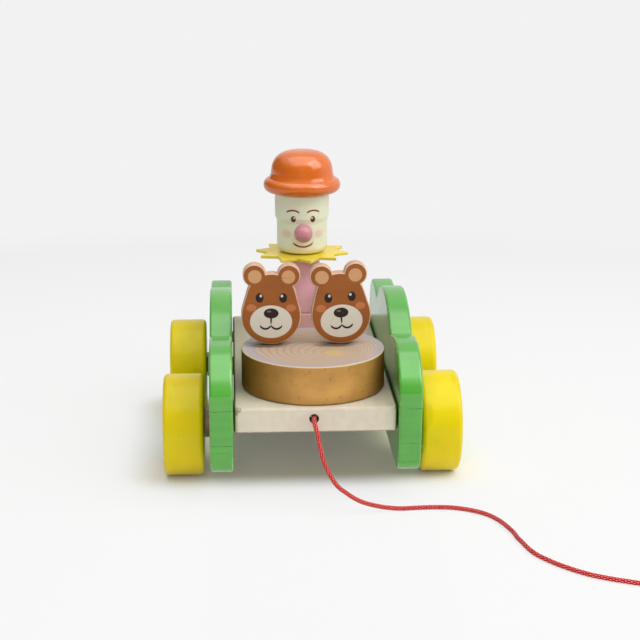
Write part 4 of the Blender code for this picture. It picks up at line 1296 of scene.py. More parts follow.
@dataclass
class Workshop:
    """Makes finished pieces, and keeps each finish so that pieces alike share it."""

    frame: dict
    finishes: dict[Finish, bpy.types.Material] = field(default_factory=dict)

    def material(self, finish: Finish) -> bpy.types.Material:
        """The material of a finish, made once.

        Args:
            finish: The finish.

        Returns:
            Its material.
        """
        if finish not in self.finishes:
            self.finishes[finish] = finish.make(f"{finish.slot}_{len(self.finishes)}")
        return self.finishes[finish]

    def piece(self, skin: Skin, name: str, body: str, finish: Finish, *nodes: str) -> bpy.types.Object:
        """Make a piece of a skin.

        Args:
            skin: The closed skin.
            name: Name of the piece.
            body: Body of the car that it moves with.
            finish: Its finish.
            nodes: Solids that it stands for.

        Returns:
            The piece.
        """
        made = bpy.data.objects.new(name, skin.mesh(name))
        bpy.context.scene.collection.objects.link(made)
        made.data.materials.append(self.material(finish))
        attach(made, body)
        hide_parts(*nodes)
        LOG.info("%s rides on %s with %d faces", name, body, len(made.data.polygons))
        return made

    def dress(self, node: str, finish: Finish) -> None:
        """Give a solid that stays in sight its finish.

        Args:
            node: Name of the solid.
            finish: Its finish.
        """
        materials = self.frame["nodes"][node].data.materials
        materials.clear()
        materials.append(self.material(finish))
        LOG.info("%s keeps its solid", node)


def middle_of(node: str) -> np.ndarray:
    """Middle of a solid's box."""
    low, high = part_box(node)
    return np.array((low + high) / 2)


def size_of(node: str) -> np.ndarray:
    """Lengths of a solid's box."""
    low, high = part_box(node)
    return np.array(high - low)


# Sub-assemblies


@dataclass
class PullCord:
    """Red cord from its knot in the deck down to the floor and into a tied coil, on one line."""

    shop: Workshop
    diameter: float = 0.0022
    gap: float = 0.0003
    knot: tuple[float, float] = (0.0052, 0.0054)
    loop_step: float = 0.0031
    layer_step: float = 0.0029
    start_radius: float = 0.0158
    turns: tuple[float, float, float] = (2.25, 0.50, 1.80)
    aside: float = 0.1620
    ahead: float = 0.0876
    run_up: float = 0.0070
    lie: float = 0.0012
    coil_height: float = 0.0022
    coil_steps: int = 120
    step: float = 0.00030
    knot_strand: float = 0.42
    knot_steps: int = 160
    tie_wall: float = 0.0003
    tie_corner: float = 0.0012
    tie_ripple: float = 0.00012
    # Places of the cord from the mouth of its hole: aside, ahead, and the share of the drop that is left.
    hanging: tuple[Point, ...] = (
        (-0.0002, 0.0040, 0.995),
        (0.0011, 0.0097, 0.887),
        (0.0037, 0.0130, 0.599),
        (0.0090, 0.0145, 0.342),
        (0.0148, 0.0143, 0.208),
        (0.0211, 0.0140, 0.108),
        (0.0284, 0.0135, 0.047),
        (0.0340, 0.0131, 0.017),
    )
    lying: tuple[tuple[float, float], ...] = (
        (0.0410, 0.0127),
        (0.0556, 0.0119),
        (0.0667, 0.0137),
        (0.0770, 0.0198),
        (0.0831, 0.0285),
        (0.0873, 0.0416),
        (0.0890, 0.0520),
        (0.0946, 0.0702),
        (0.1113, 0.0892),
        (0.1343, 0.1008),
    )

    def mouth(self) -> np.ndarray:
        """Mouth of the cord's hole in the front of the deck."""
        x, _, z = middle_of("cord_anchor_knot")
        return np.array([x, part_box("deck")[0].y, z])

    def coil(self) -> np.ndarray:
        """Loops that spiral in on the floor, climb half a turn and spiral out, with straight ends.

        The radius falls and grows evenly with the turns, and the climb is s s (3 - 2 s).

        Returns:
            Points as rows of x, y and z.
        """
        into, climb, _ = self.turns
        turns = np.linspace(0, sum(self.turns), round(sum(self.turns) * self.coil_steps) + 1)
        radius = self.start_radius - self.loop_step * np.minimum(turns, into)
        radius += self.loop_step * np.maximum(turns - into - climb, 0)
        share = np.clip((turns - into) / climb, 0, 1)
        height = self.coil_height + self.layer_step * share * share * (3 - 2 * share)
        angle = 2 * np.pi * turns - np.pi / 2
        centre = self.mouth() + (self.aside, -self.ahead, 0)
        x, y = centre[0] + radius * np.cos(angle), centre[1] + radius * np.sin(angle)
        loops = np.stack([x, y, height], axis=1)
        tangent = np.stack([-np.sin(angle[[0, -1]]), np.cos(angle[[0, -1]]), (0, 0)], axis=1)
        ends = loops[[0, -1]] + tangent * np.array([[-self.diameter], [self.diameter]])
        return np.vstack([ends[:1], loops, ends[1:]])

    def line(self) -> np.ndarray:
        """Middle of the whole cord: a smooth curve down to the floor, run into the coil.

        Returns:
            Points at even steps, as rows of x, y and z.
        """
        x, y, top = self.mouth()
        drop = top - self.lie
        steps = [*self.hanging, *((aside, ahead, 0.0) for aside, ahead in self.lying)]
        outside = [(x + aside, y - ahead, self.lie + drop * left) for aside, ahead, left in steps]
        coil = self.coil()
        way = (coil[1] - coil[0]) / np.linalg.norm(coil[1] - coil[0])
        start = (x, middle_of("cord_anchor_knot")[1] - self.knot[1] / 2 - self.gap, top)
        lead = [tuple(coil[0] - way * self.run_up * k) for k in (2, 1, 0)]
        free = smooth_line([start, (x, y, top), *outside, *lead], self.lie)
        return evenly(np.vstack([free[:-1], coil]), self.step)

    def knot_skin(self, node: str, axis: np.ndarray) -> Skin:
        """A pulled-tight knot: the line (sin t + 2 sin 2t, cos t - 2 cos 2t, sin 3t) in the knot's size.

        Args:
            node: Solid whose place it takes.
            axis: Direction of the cord through the knot.

        Returns:
            The closed skin.
        """
        thick = self.knot_strand * self.diameter
        wide, long = (self.knot[0] / 2 - thick) / 3, self.knot[1] / 2 - thick
        t = np.linspace(0, 2 * np.pi, self.knot_steps, endpoint=False)
        flat = wide * np.stack([np.sin(t) + 2 * np.sin(2 * t), np.cos(t) - 2 * np.cos(2 * t)], axis=1)
        across = np.cross(axis, (0, 0, 1.0))
        across /= np.linalg.norm(across)
        axes = (tuple(across), tuple(np.cross(axis, across)), tuple(axis))
        place = Place(tuple(middle_of(node)), axes)
        line = place.carry(np.column_stack([flat, long * np.sin(3 * t)]))
        length = length_of(np.vstack([line, line[:1]]))
        plait = Plait(pitch=length / round(length / CORD_PLAIT.pitch))
        return tube(line, thick, axis, plait, closed=True)

    def tie_skin(self) -> Skin:
        """Paper band: a flat section carried round a rounded box about the loops, one edge waved.

        Returns:
            The closed skin.
        """
        low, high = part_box("cord_tie")
        wall, soft = self.tie_wall, self.tie_corner
        x, z = (high.x - low.x) / 2 - wall, (high.z - low.z) / 2 - wall
        path, _ = rounded([(-x, -z, soft), (x, -z, soft), (x, z, soft), (-x, z, soft)], True)
        section, _ = rounded([(-1, -1, 0.4), (1, -1, 0.4), (1, 1, 0.4), (-1, 1, 0.4)], True, 3)
        out = path - inset(path, 1.0)
        thick = wall * section[:, 0]
        half = (high.y - low.y) / 2
        ripple = self.tie_ripple * np.sin(np.arange(len(path)) * 1.7)[:, None] * (section[:, 1] > 0)
        flat = path[:, None] + out[:, None] * thick[None, :, None]
        depth = np.broadcast_to(half * section[:, 1], flat.shape[:2]) + ripple
        points = middle_of("cord_tie") + np.stack([flat[..., 0], depth, flat[..., 1]], axis=-1)
        skin = Skin()
        skin.grid(points, wrap_rows=True)
        return skin

    def build(self) -> None:
        line = self.line()
        skin = tube(line, self.diameter / 2, (0, 0, 1), CORD_PLAIT)
        cord = self.shop.piece(skin, "red_cord", "car", Yarn(), "pull_cord", "cord_coil")
        way = (line[-1] - line[-2]) / np.linalg.norm(line[-1] - line[-2])
        for node, axis in (("cord_anchor_knot", np.array([0, -1.0, 0])), ("cord_end_knot", way)):
            self.shop.piece(self.knot_skin(node, axis), f"{node}_tied", "car", Yarn(), node)
        tie = self.shop.piece(self.tie_skin(), "paper_tie", "car", Paper(), "cord_tie")


@dataclass
class Chassis:
    """Limewashed deck between two scalloped side boards, with the dowels that join them."""

    shop: Workshop
    foot_radius: float = 0.0090
    lower_rise: float = 0.0005
    shoulder_radii: tuple[float, float] = (0.0267, 0.0180)
    shoulder_past_end: float = 0.0038
    crest_above_shoulder: float = 0.0103
    crease_below_shoulder: float = 0.0182
    brow_rise: float = 0.0008
    notch_below_shoulder: float = 0.0030
    notch_reaches: tuple[float, float] = (0.0335, 0.0395)
    lobe_rise: float = 0.0133
    edge: float = 0.0014

    def end(self, low: Vector, high: Vector, notch_reach: float, radius: float) -> np.ndarray:
        """Front end of a side board from its middle: brow, shoulder with a crease below, and foot.

        Args:
            low: Lowest corner of its solid.
            high: Highest corner of its solid.
            notch_reach: Notch beside the centre lobe, from the middle.
            radius: Radius of the shoulder.

        Returns:
            Points from the notch to the foot, as rows of y and z.
        """
        reach = (high.y - low.y) / 2
        foot_end = reach - self.shoulder_past_end
        shoulder_top = high.z - self.crest_above_shoulder
        notch = (-notch_reach, shoulder_top - self.notch_below_shoulder)
        slope = math.asin(1 - self.crease_below_shoulder / radius)
        middle = (-reach + radius * math.cos(slope), shoulder_top - radius)
        shoulder = arc(middle, radius, 90, 180 - math.degrees(slope), 44)
        brow = bulge(notch, shoulder[0], self.brow_rise, 20)
        foot = (-foot_end + self.foot_radius, low.z + self.foot_radius)
        corner = arc(foot, self.foot_radius, 180, 270, 18)
        lower = bulge(shoulder[-1], corner[0], self.lower_rise, 24)
        return chain(brow, shoulder, lower, corner)

    def outline(self, low: Vector, high: Vector) -> np.ndarray:
        """Side board from its middle: two ends, the rear one tighter in the shoulder, and a centre lobe.

        Args:
            low: Lowest corner of its solid.
            high: Highest corner of its solid.

        Returns:
            Closed outline, counter-clockwise, as rows of y and z.
        """
        sizes = zip(self.notch_reaches, self.shoulder_radii)
        front, rear = (self.end(low, high, reach, radius) for reach, radius in sizes)
        back = rear[::-1] * (-1, 1)
        foot_run = np.linspace(front[-1], back[0], 60)
        crest = bulge(back[-1], front[0], self.lobe_rise, 70)
        return chain(front, foot_run, back, crest)[:-1]

    def build(self) -> None:
        """Dress the deck and its hidden dowels and make the side boards."""
        low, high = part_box("deck")
        hole = tuple(middle_of("cord_anchor_knot"))
        self.shop.dress("deck", Limewash(low=tuple(low), high=tuple(high), hole=hole))
        for side, _ in SIDES:
            node = f"side_panel_{side}"
            low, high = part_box(node)
            place = Place(((low.x + high.x) / 2, (low.y + high.y) / 2, 0.0), Facing.ACROSS.value)
            skin = board(self.outline(low, high), high.x - low.x, self.edge, place)
            self.shop.piece(skin, f"scalloped_board_{side}", "car", GREEN, node)
            for spot in ("front", "middle", "rear"):
                self.shop.dress(f"panel_dowel_{side}_{spot}", BareWood())


@dataclass
class RunningGear:
    """Two axles with their wheels and spacers, and the cams on the rear one."""

    shop: Workshop
    wheel_edges: tuple[float, float] = (0.0022, 0.0005)
    wheel_sides: int = 128
    spacer_edges: tuple[float, float] = (0.0004, 0.0002)
    spacer_sides: int = 64
    bore: float = 0.0043
    axle_edge: float = 0.0006
    cam_edge: float = 0.0006
    cam_sides: int = 96

    def ring(self, node: str, edges: tuple[float, float], sides: int) -> Skin:
        """A wheel or spacer: a rounded section with a bore, turned about the axle.

        Args:
            node: Solid whose place it takes.
            edges: Radius of the outer edges and of the edges of the bore.
            sides: Points round the axle.

        Returns:
            The closed skin.
        """
        low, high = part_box(node)
        radius, width = (high.z - low.z) / 2, high.x - low.x
        outer, inner = edges
        bottom = [(self.bore, 0, inner), (radius, 0, outer)]
        top = [(radius, width, outer), (self.bore, width, inner)]
        profile, rim = rounded(bottom + top, True)
        place = Place((low.x, (low.y + high.y) / 2, (low.z + high.z) / 2), Facing.ACROSS.value)
        return turned(profile, rim, place, sides, True)

    def rod(self, node: str, edge: float, sides: int = 48) -> Skin:
        """A plain rod across the car with softened ends, its half section turned about its middle.

        Args:
            node: Solid whose place it takes.
            edge: Radius of the edges of its ends.
            sides: Points round the rod.

        Returns:
            The closed skin.
        """
        low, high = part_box(node)
        radius, length = (high.z - low.z) / 2, high.x - low.x
        corners = [(0, 0, 0), (radius, 0, edge), (radius, length, edge), (0, length, 0)]
        profile, rim = rounded(corners, False, 4)
        place = Place((low.x, (low.y + high.y) / 2, (low.z + high.z) / 2), Facing.ACROSS.value)
        return turned(profile, rim, place, sides, False)

    def cam(self, node: str) -> Skin:
        """An oval kicker: (lobe cos a, waist sin a).

        Args:
            node: Solid whose place it takes.

        Returns:
            The closed skin.
        """
        size, middle = size_of(node), middle_of(node)
        angle = np.linspace(0, 2 * np.pi, self.cam_sides, endpoint=False)
        outline = np.stack([size[1] / 2 * np.cos(angle), size[2] / 2 * np.sin(angle)], axis=1)
        return board(outline, size[0], self.cam_edge, Place(tuple(middle), Facing.ACROSS.value))

    def build(self) -> None:
        """Make both axles with what turns on them."""
        for end in ENDS:
            body = f"{end}_axle"
            paint = replace(YELLOW, axle=tuple(middle_of(body)))
            rod = self.rod(body, self.axle_edge)
            self.shop.piece(rod, f"{end}_axle_rod", body, BareWood(), body)
            for side, _ in SIDES:
                spacer, wheel = f"spacer_{end}_{side}", f"wheel_{end}_{side}"
                collar = self.ring(spacer, self.spacer_edges, self.spacer_sides)
                self.shop.piece(collar, f"collar_{end}_{side}", body, BareWood(along=1), spacer)
                disc = self.ring(wheel, self.wheel_edges, self.wheel_sides)
                self.shop.piece(disc, f"round_wheel_{end}_{side}", body, paint, wheel)
        for side, _ in SIDES:
            node = f"cam_{side}"
            self.shop.piece(self.cam(node), f"kicker_{side}", "rear_axle", BareWood(along=1), node)


@dataclass
class Stump:
    """Drum painted as a slice of a tree, with the screws that hold it."""

    shop: Workshop
    edge: float = 0.0008
    sides: int = 160
    # shift of each painted head shadow, to the left of and in front of the head's foot
    head_shadow_shift: tuple[float, float] = (-0.0030, -0.0006)

    def head_shadows(self, middle: Sequence[float]) -> tuple[tuple[float, float], ...]:
        """Places on the stump's top for the painted shadows of the heads, at the foot of each.

        Args:
            middle: Middle of the stump.

        Returns:
            Their x and y from that middle.
        """
        places = []
        for side, _ in SIDES:
            x, y = middle_of(f"bear_{side}")[0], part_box(f"bear_{side}")[0].y
            places.append((x - middle[0] + self.head_shadow_shift[0], y - middle[1] + self.head_shadow_shift[1]))
        return tuple(places)

    def build(self) -> None:
        """Make the drum, a rounded half section turned upright, and dress the screws."""
        low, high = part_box("stump")
        radius, height = (high.x - low.x) / 2, high.z - low.z
        corners = [(0, 0, 0), (radius, 0, self.edge), (radius, height, self.edge), (0, height, 0)]
        profile, rim = rounded(corners, False)
        middle = ((low.x + high.x) / 2, (low.y + high.y) / 2)
        skin = turned(profile, rim, Place((*middle, low.z)), self.sides, False)
        finish = StumpPrint(centre=(*middle, high.z), radius=radius, head_shadows=self.head_shadows(middle))
        self.shop.piece(skin, "tree_slice", "car", finish, "stump")
        for side, _ in SIDES:
            self.shop.dress(f"stump_screw_{side}", Steel())


@dataclass
class Figure:
    """Turned figure on its spindle: foot, bell-shaped body, star collar, head, ball nose and hat."""

    shop: Workshop
    sides: int = 128
    bore: float = 0.0043
    edge: float = 0.0010
    hem_radius: float = 0.0126
    neck_radius: float = 0.0095
    body_edge: float = 0.0003
    jaw: tuple[float, float] = (0.0136, 0.0170)
    brow_step: float = 0.0030
    chin_radius: float = 0.0040
    brim_roll: float = 0.0039
    crown_radius: float = 0.0168
    crown_flare: tuple[float, float] = (0.0010, 0.0032)
    crown_power: float = 2.9
    hat_socket: float = 0.0120
    collar_points: int = 10
    collar_radii: tuple[float, float] = (0.0256, 0.0186)
    collar_corners: tuple[float, float] = (0.0004, 0.0010)
    collar_edge: float = 0.0002
    collar_turn: float = -10.0
    peg_radius: float = 0.0020
    nose_sides: int = 64

    def at(self, node: str) -> Place:
        """Foot of a solid on the figure's axis."""
        low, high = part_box(node)
        return Place(((low.x + high.x) / 2, (low.y + high.y) / 2, low.z))

    def foot(self) -> Skin:
        """Round foot with softened edges: a rounded section with a bore, turned upright.

        Returns:
            The closed skin.
        """
        radius, _, height = size_of("figure_foot") / (2, 2, 1)
        bottom = [(self.bore, 0, 0), (radius, 0, self.edge)]
        top = [(radius, height, self.edge), (self.bore, height, 0)]
        profile, rim = rounded(bottom + top, True)
        return turned(profile, rim, self.at("figure_foot"), self.sides, True)

    def body(self) -> Skin:
        """Bell whose radius eases from the hem to the neck as s s (3 - 2 s) of the height.

        Returns:
            The closed skin.
        """
        height = size_of("figure_body")[2]
        share = np.linspace(0, 1, 48)
        radius = self.hem_radius + (self.neck_radius - self.hem_radius) * share**2 * (3 - 2 * share)
        radius[[0, -1]] -= self.body_edge
        wall = np.stack([radius, share * height], axis=1)
        profile = np.vstack([[(self.bore, 0)], wall, [(self.bore, height)]])
        return turned(profile, np.zeros(len(profile)), self.at("figure_body"), self.sides, True)

    def head(self) -> Skin:
        """Jaw and wider brow, with a rounded chin: a section with rounded corners, turned upright.

        Returns:
            The closed skin.
        """
        brow, _, height = size_of("figure_head") / (2, 2, 1)
        jaw, jaw_top = self.jaw
        corners = [
            (self.bore, 0, 0),
            (jaw, 0, self.chin_radius),
            (jaw, jaw_top, self.brow_step),
            (brow, jaw_top + self.brow_step, self.brow_step),
            (brow, height, self.edge),
            (self.bore, height, 0),
        ]
        profile, _ = rounded(corners, True, 10)
        return turned(profile, np.zeros(len(profile)), self.at("figure_head"), self.sides, True)

    def nose(self) -> Skin:
        """Ball on a short peg that sits in the head: a peg's corner and an arc, turned forward.

        Returns:
            The closed skin.
        """
        low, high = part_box("figure_nose")
        radius = (high.z - low.z) / 2
        meet = math.degrees(math.asin(self.peg_radius / radius))
        length = high.y - low.y - 2 * radius
        ball = arc((0, length + radius), radius, -90 + meet, 90, 40)
        profile = np.vstack([[(0, 0), (self.peg_radius, 0)], ball])
        origin = ((low.x + high.x) / 2, high.y, (low.z + high.z) / 2)
        place = Place(origin, Facing.FORWARD.value)
        return turned(profile, np.zeros(len(profile)), place, self.nose_sides, False)

    def hat(self) -> Skin:
        """Bowler: a rolled brim, then a crown of section |r / R|^n + |h / H|^n = 1, flared at its foot.

        Returns:
            The closed skin.
        """
        brim, _, height = size_of("figure_hat") / (2, 2, 1)
        roll = self.brim_roll
        fold = arc((brim - roll, roll), roll, -90, 78, 28)
        sill = fold[-1, 1]
        angle = np.radians(np.linspace(0, 90, 48))
        radius = self.crown_radius * np.cos(angle) ** (2 / self.crown_power)
        rise = (height - sill) * np.sin(angle) ** (2 / self.crown_power)
        flare, reach = self.crown_flare
        radius += flare * np.maximum(1 - rise / reach, 0) ** 2
        crown = np.stack([radius, sill + rise], axis=1)
        crown[-1, 0] = 0
        socket = [(0, self.hat_socket), (self.bore, self.hat_socket), (self.bore, 0)]
        profile = np.vstack([socket, fold, crown])
        return turned(profile, np.zeros(len(profile)), self.at("figure_hat"), self.sides, False)

    def collar(self) -> Skin:
        """Flat star: tips at every other even angle, a little blunt, and notches between them.

        Returns:
            The closed skin.
        """
        number = np.arange(2 * self.collar_points)
        angle = number * np.pi / self.collar_points + math.radians(self.collar_turn - 90)
        radius, soft = (
            np.where(number % 2 == 0, notch, tip) for tip, notch in (self.collar_radii, self.collar_corners)
        )
        corners = np.stack([radius * np.cos(angle), radius * np.sin(angle), soft], axis=1)
        outline, _ = rounded([tuple(c) for c in corners], True, 4)
        low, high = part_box("figure_collar")
        x, y, _ = self.at("figure_collar").origin
        place = Place((x, y, (low.z + high.z) / 2))
        return board(outline, high.z - low.z, self.collar_edge, place)

    def build(self) -> None:
        """Make the figure's pieces from the foot up."""
        nose = middle_of("figure_nose")
        head = HeadPaint(nose=(nose[0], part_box("figure_head")[0].y, nose[2]))
        made: list[tuple[Skin, str, Finish]] = [
            (self.foot(), "figure_foot", PALE_PINK),
            (self.body(), "figure_body", LIGHTENED_PINK),
            (self.collar(), "figure_collar", Foam()),
            (self.head(), "figure_head", head),
            (self.nose(), "figure_nose", ROSE),
            (self.hat(), "figure_hat", ORANGE),
        ]
        for skin, node, finish in made:
            self.shop.piece(skin, f"{node}_turned", "car", finish, node)
        self.shop.dress("figure_spindle", BareWood(along=2))


@dataclass
class Strikers:
    """Two rocking arms on a cross pin, each with a flat bear head on its long bar."""

    shop: Workshop
    gear: RunningGear
    jaw_radius: float = 0.0145
    crown_radius: float = 0.0122
    crown_above_jaw: float = 0.0088
    ear_radius: float = 0.0056
    ear_reach: float = 0.0138
    ear_angle: float = 53.0
    edge: float = 0.0007
    border: float = 0.0006
    tilts: tuple[float, float] = (1.0, -4.0)
    set_over: float = 0.0026
    above_stump: float = 0.0003
    pin_edge: float = 0.0002
    pin_sides: int = 32
    cap_wall: float = 0.35
    cap_edge: float = 0.0002
    cap_sides: int = 40

    def head_outline(self) -> np.ndarray:
        """Bear head round the middle of its jaw: jaw circle, narrower crown circle and round ears.

        The circles of ear and crown meet at the angle that their radii and distance give by cosines.

        Returns:
            Closed outline, counter-clockwise, as rows of x and z.
        """
        lean = math.degrees(math.asin((self.jaw_radius - self.crown_radius) / self.crown_above_jaw))
        reach, ear, crown = self.ear_reach, self.ear_radius, self.crown_radius
        spread = math.degrees(math.acos((reach**2 + crown**2 - ear**2) / (2 * reach * crown)))
        open_to = 180 - math.degrees(math.acos((reach**2 + ear**2 - crown**2) / (2 * reach * ear)))
        side = math.radians(self.ear_angle)
        middle = (0.0, self.crown_above_jaw)
        ear_at = (reach * math.cos(side), self.crown_above_jaw + reach * math.sin(side))
        right = chain(
            arc((0.0, 0.0), self.jaw_radius, -90, lean, 48),
            arc(middle, crown, lean, self.ear_angle - spread, 12),
            arc(ear_at, ear, self.ear_angle - open_to, self.ear_angle + open_to, 48),
            arc(middle, crown, self.ear_angle + spread, 90, 10),
        )
        left = right[::-1] * (-1, 1)
        return chain(right, left)[:-1]

    def head(self, side: str, tilt: float) -> None:
        """Make one bear head on its arm: its outline as a board that leans on the stump.

        Args:
            side: Side of the car.
            tilt: Lean in degrees, clockwise seen from the front.
        """
        low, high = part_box(f"bear_{side}")
        arm = middle_of(f"arm_{side}")
        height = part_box("stump")[1].z + self.above_stump + self.jaw_radius
        centre = (arm[0] - self.set_over, (low.y + high.y) / 2, height)
        lean = math.radians(tilt)
        across = (math.cos(lean), 0.0, -math.sin(lean))
        upright = (math.sin(lean), 0.0, math.cos(lean))
        place = Place(centre, (across, upright, (0.0, -1.0, 0.0)))
        skin = board(self.head_outline(), high.y - low.y, self.edge, place, self.border)
        finish = BearPaint(centre=centre, tilt=tilt)
        self.shop.piece(skin, f"bear_head_{side}", f"{side}_striker", finish, f"bear_{side}")

    def cap(self, node: str, sign: int) -> Skin:
        """Domed cap on the end of the cross pin: a quarter oval turned about the pin.

        Args:
            node: Solid whose place it takes.
            sign: -1 on the left and 1 on the right.

        Returns:
            The closed skin.
        """
        low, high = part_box(node)
        radius, length = (high.z - low.z) / 2, high.x - low.x
        angle = np.radians(np.linspace(0, 90, 16))
        rise = length * (self.cap_wall + (1 - self.cap_wall) * np.sin(angle))
        dome = np.stack([radius * np.cos(angle), rise], axis=1)
        dome[-1, 0] = 0
        profile = np.vstack([[(0, 0), (radius - self.cap_edge, 0), (radius, self.cap_edge)], dome])
        facing, start = (Facing.ACROSS, low.x) if sign > 0 else (Facing.LEFTWARD, high.x)
        place = Place((start, (low.y + high.y) / 2, (low.z + high.z) / 2), facing.value)
        return turned(profile, np.zeros(len(profile)), place, self.cap_sides, False)

    def build(self) -> None:
        """Make pin, caps, arms and heads."""
        pin = self.gear.rod("pivot_pin", self.pin_edge, self.pin_sides)
        self.shop.piece(pin, "cross_pin", "car", Steel(), "pivot_pin")
        for (side, sign), tilt in zip(SIDES, self.tilts):
            node = f"pivot_cap_{side}"
            self.shop.piece(self.cap(node, sign), f"pin_cap_{side}", "car", BareWood(), node)
            self.shop.dress(f"arm_{side}", BareWood(along=1))
            self.head(side, tilt)


@dataclass
class Studio:
    """Camera of the photograph's view, soft lamps, and a pale floor that runs into a white room."""

    eye: Point = (-0.0373, -0.7793, 0.2819)
    pitch: float = 15.402
    yaw: float = 3.213
    roll: float = 0.002
    lens: float = 88.78
    sensor: float = 36.0
    nearest: float = 0.01
    white: float = 0.89
    near_white: float = 0.93
    ambient: float = 0.22
    dim: float = 0.12
    dim_behind: tuple[float, float] = (-0.15, -0.55)
    dim_left: tuple[float, float] = (-0.25, -0.65)
    dim_below: tuple[float, float] = (0.72, 0.45)
    aim: Point = (0.0, 0.0, 0.05)
    lamps: tuple[tuple[str, Point, float, float, bool], ...] = (
        ("key", (0.85, -0.40, 0.95), 0.95, 8.9, True),
        ("top", (0.0, -0.20, 1.30), 1.60, 12.5, True),
        ("fill", (-0.06, -1.15, 0.40), 0.45, 2.7, False),
    )
    floor_rings: tuple[float, ...] = (0.0001, 0.25, 0.5, 1.0, 2.0, 3.0)
    floor_sides: int = 96
    floor_tones: tuple[Rgb, Rgb] = ((246, 246, 245), (243, 243, 243))
    # painted shade colour: a warm tint of the floor under the car, where its shadow falls
    shadow_tint: Rgb = (246, 239, 202)
    footprint: tuple[float, float] = (0.073, 0.054)
    footprint_behind: float = 0.011
    between_wheels: tuple[float, float] = (0.060, 0.046)
    shadow_tint_reach: float = 0.030
    shadow_reach: float = 0.026
    shadow_ends: tuple[float, float] = (0.2, 0.5)
    whitens: tuple[float, float] = (0.1, 0.5)

    def camera(self) -> None:
        """Put the camera where the photograph was taken from, turned by its yaw, pitch and roll."""
        pitch, yaw = math.radians(self.pitch), math.radians(self.yaw)
        ahead = Vector((math.sin(yaw) * math.cos(pitch), math.cos(yaw) * math.cos(pitch), -math.sin(pitch)))
        right = Vector((math.cos(yaw), -math.sin(yaw), 0))
        up = right.cross(ahead)
        across = right * math.cos(self.roll) + up * math.sin(self.roll)
        upright = up * math.cos(self.roll) - right * math.sin(self.roll)
        data = bpy.data.cameras.new("camera")
        data.lens, data.sensor_width, data.clip_start = self.lens, self.sensor, self.nearest
        made = bpy.data.objects.new("camera", data)
        turn = Matrix((across, upright, -ahead)).transposed().to_4x4()
        made.matrix_world = Matrix.Translation(self.eye) @ turn
        bpy.context.scene.collection.objects.link(made)
        bpy.context.scene.camera = made

    def light(self) -> None:
        """Hang the lamps, all aimed at the middle of the car."""
        for name, place, size, power, mirrored in self.lamps:
            data = bpy.data.lights.new(name, "AREA")
            data.size, data.energy = size, power
            made = bpy.data.objects.new(name, data)
            made.visible_glossy = mirrored
            made.location = place
            way = Vector(self.aim) - Vector(place)
            made.rotation_euler = way.to_track_quat("-Z", "Y").to_euler()
            bpy.context.scene.collection.objects.link(made)

    def seen(self, graph: Graph) -> Socket:
        """1 for rays that show the room in the picture, in a reflection or through a clear piece.

        Args:
            graph: Node tree that asks.

        Returns:
            1 or 0.
        """
        path = graph.node("ShaderNodeLightPath").outputs
        total = path["Is Camera Ray"]
        for name in ("Is Glossy Ray", "Is Transmission Ray"):
            total = graph.math("MAXIMUM", total, path[name])
        return total

    def between(self, graph: Graph, share: Socket, low: Socket | float, high: float) -> Socket:
        """A level that goes from low to high with a share."""
        inputs = {"Value": share, "To Min": low, "To Max": high}
        return graph.node("ShaderNodeMapRange", inputs).outputs[0]

    def room(self) -> None:
        """White where it is seen, dim behind the camera and to the left in reflections, soft elsewhere."""
        world = bpy.data.worlds.new("room")
        world.use_nodes = True
        graph = Graph.over(world.node_tree)
        x, y, z = graph.moved((0, 0, 0))
        dim = graph.math("MAXIMUM", graph.ease(y, *self.dim_behind), graph.ease(x, *self.dim_left))
        dim = graph.times(dim, graph.ease(z, *self.dim_below))
        dim = graph.times(dim, graph.node("ShaderNodeLightPath").outputs["Is Glossy Ray"])
        level = self.between(graph, self.seen(graph), self.ambient, self.white)
        back = world.node_tree.nodes["Background"]
        back.inputs["Color"].default_value = (1, 1, 1, 1)
        graph.feed(back.inputs["Strength"], self.between(graph, dim, level, self.dim))
        bpy.context.scene.world = world

    def floor_material(self) -> bpy.types.Material:
        """Pale floor that takes the shadow near the car and glows white away from it.

        Off is the distance from the rectangle under the car: the length of what x and y reach beyond it.

        Returns:
            The material.
        """
        graph = Graph("floor")
        x, y, _ = graph.moved((0.0, self.footprint_behind, 0.0))
        sides = []
        for value, half in zip((x, y), self.footprint):
            beyond = graph.math("SUBTRACT", graph.math("ABSOLUTE", value), half)
            sides.append(graph.math("MAXIMUM", beyond, 0.0))
        off = graph.length(*sides)
        inside = graph.ease(graph.math("ABSOLUTE", x), *self.between_wheels)
        colour = graph.mix(graph.noise((3, 3, 3)), *self.floor_tones)
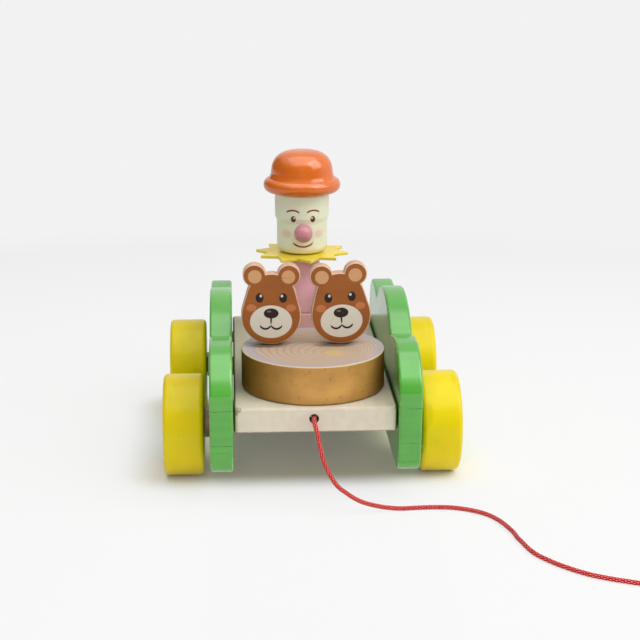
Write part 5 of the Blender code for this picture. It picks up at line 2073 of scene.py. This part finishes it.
        # painted shade: the floor between the wheels is tinted warm under and near the car
        tinted_shadow = graph.times(inside, graph.ease(off, self.shadow_tint_reach, 0.0))
        graph.close(graph.mix(tinted_shadow, colour, self.shadow_tint), 0.8, Specular_IOR_Level=0.1)
        least = graph.total(0.02, graph.times(inside, 0.10))
        away = graph.total(least, graph.times(graph.ease(off, 0.0, self.shadow_reach), 0.74))
        away = graph.math("MAXIMUM", away, graph.ease(off, *self.shadow_ends))
        away = graph.times(away, self.seen(graph))
        level = self.between(graph, graph.ease(off, *self.whitens), self.near_white, self.white)
        white = graph.node("ShaderNodeEmission", {"Color": (1, 1, 1, 1), "Strength": level})
        shaders = {0: away, 1: graph.shader.outputs[0], 2: white.outputs[0]}
        both = graph.node("ShaderNodeMixShader", shaders)
        graph.feed(graph.tree.nodes["Material Output"].inputs["Surface"], both.outputs[0])
        return graph.material

    def floor(self) -> None:
        """Round floor: rings of points (r cos a, r sin a, 0)."""
        radius = np.array(self.floor_rings)[:, None]
        angle = np.linspace(0, 2 * np.pi, self.floor_sides, endpoint=False)[None, :]
        flat = np.zeros((len(radius), self.floor_sides))
        skin = Skin()
        index = skin.grid(np.stack([radius * np.cos(angle), radius * np.sin(angle), flat], axis=-1))
        skin.cap(index[0])
        made = bpy.data.objects.new("floor", skin.mesh("floor"))
        made.data.materials.append(self.floor_material())
        bpy.context.scene.collection.objects.link(made)

    def build(self) -> None:
        """Set camera, lamps, room and floor."""
        bpy.context.scene.view_settings.view_transform = "Standard"
        self.camera()
        self.light()
        self.room()
        self.floor()


def main() -> None:
    """Dress the car."""
    logging.basicConfig(level=logging.INFO, format="%(name)s: %(message)s")
    for old in list(bpy.data.objects):
        bpy.data.objects.remove(old, do_unlink=True)
    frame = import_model()
    Studio().build()
    shop = Workshop(frame)
    PullCord(shop).build()
    Chassis(shop).build()
    gear = RunningGear(shop)
    gear.build()
    Stump(shop).build()
    Figure(shop).build()
    Strikers(shop, gear).build()


if __name__ == "__main__":
    main()
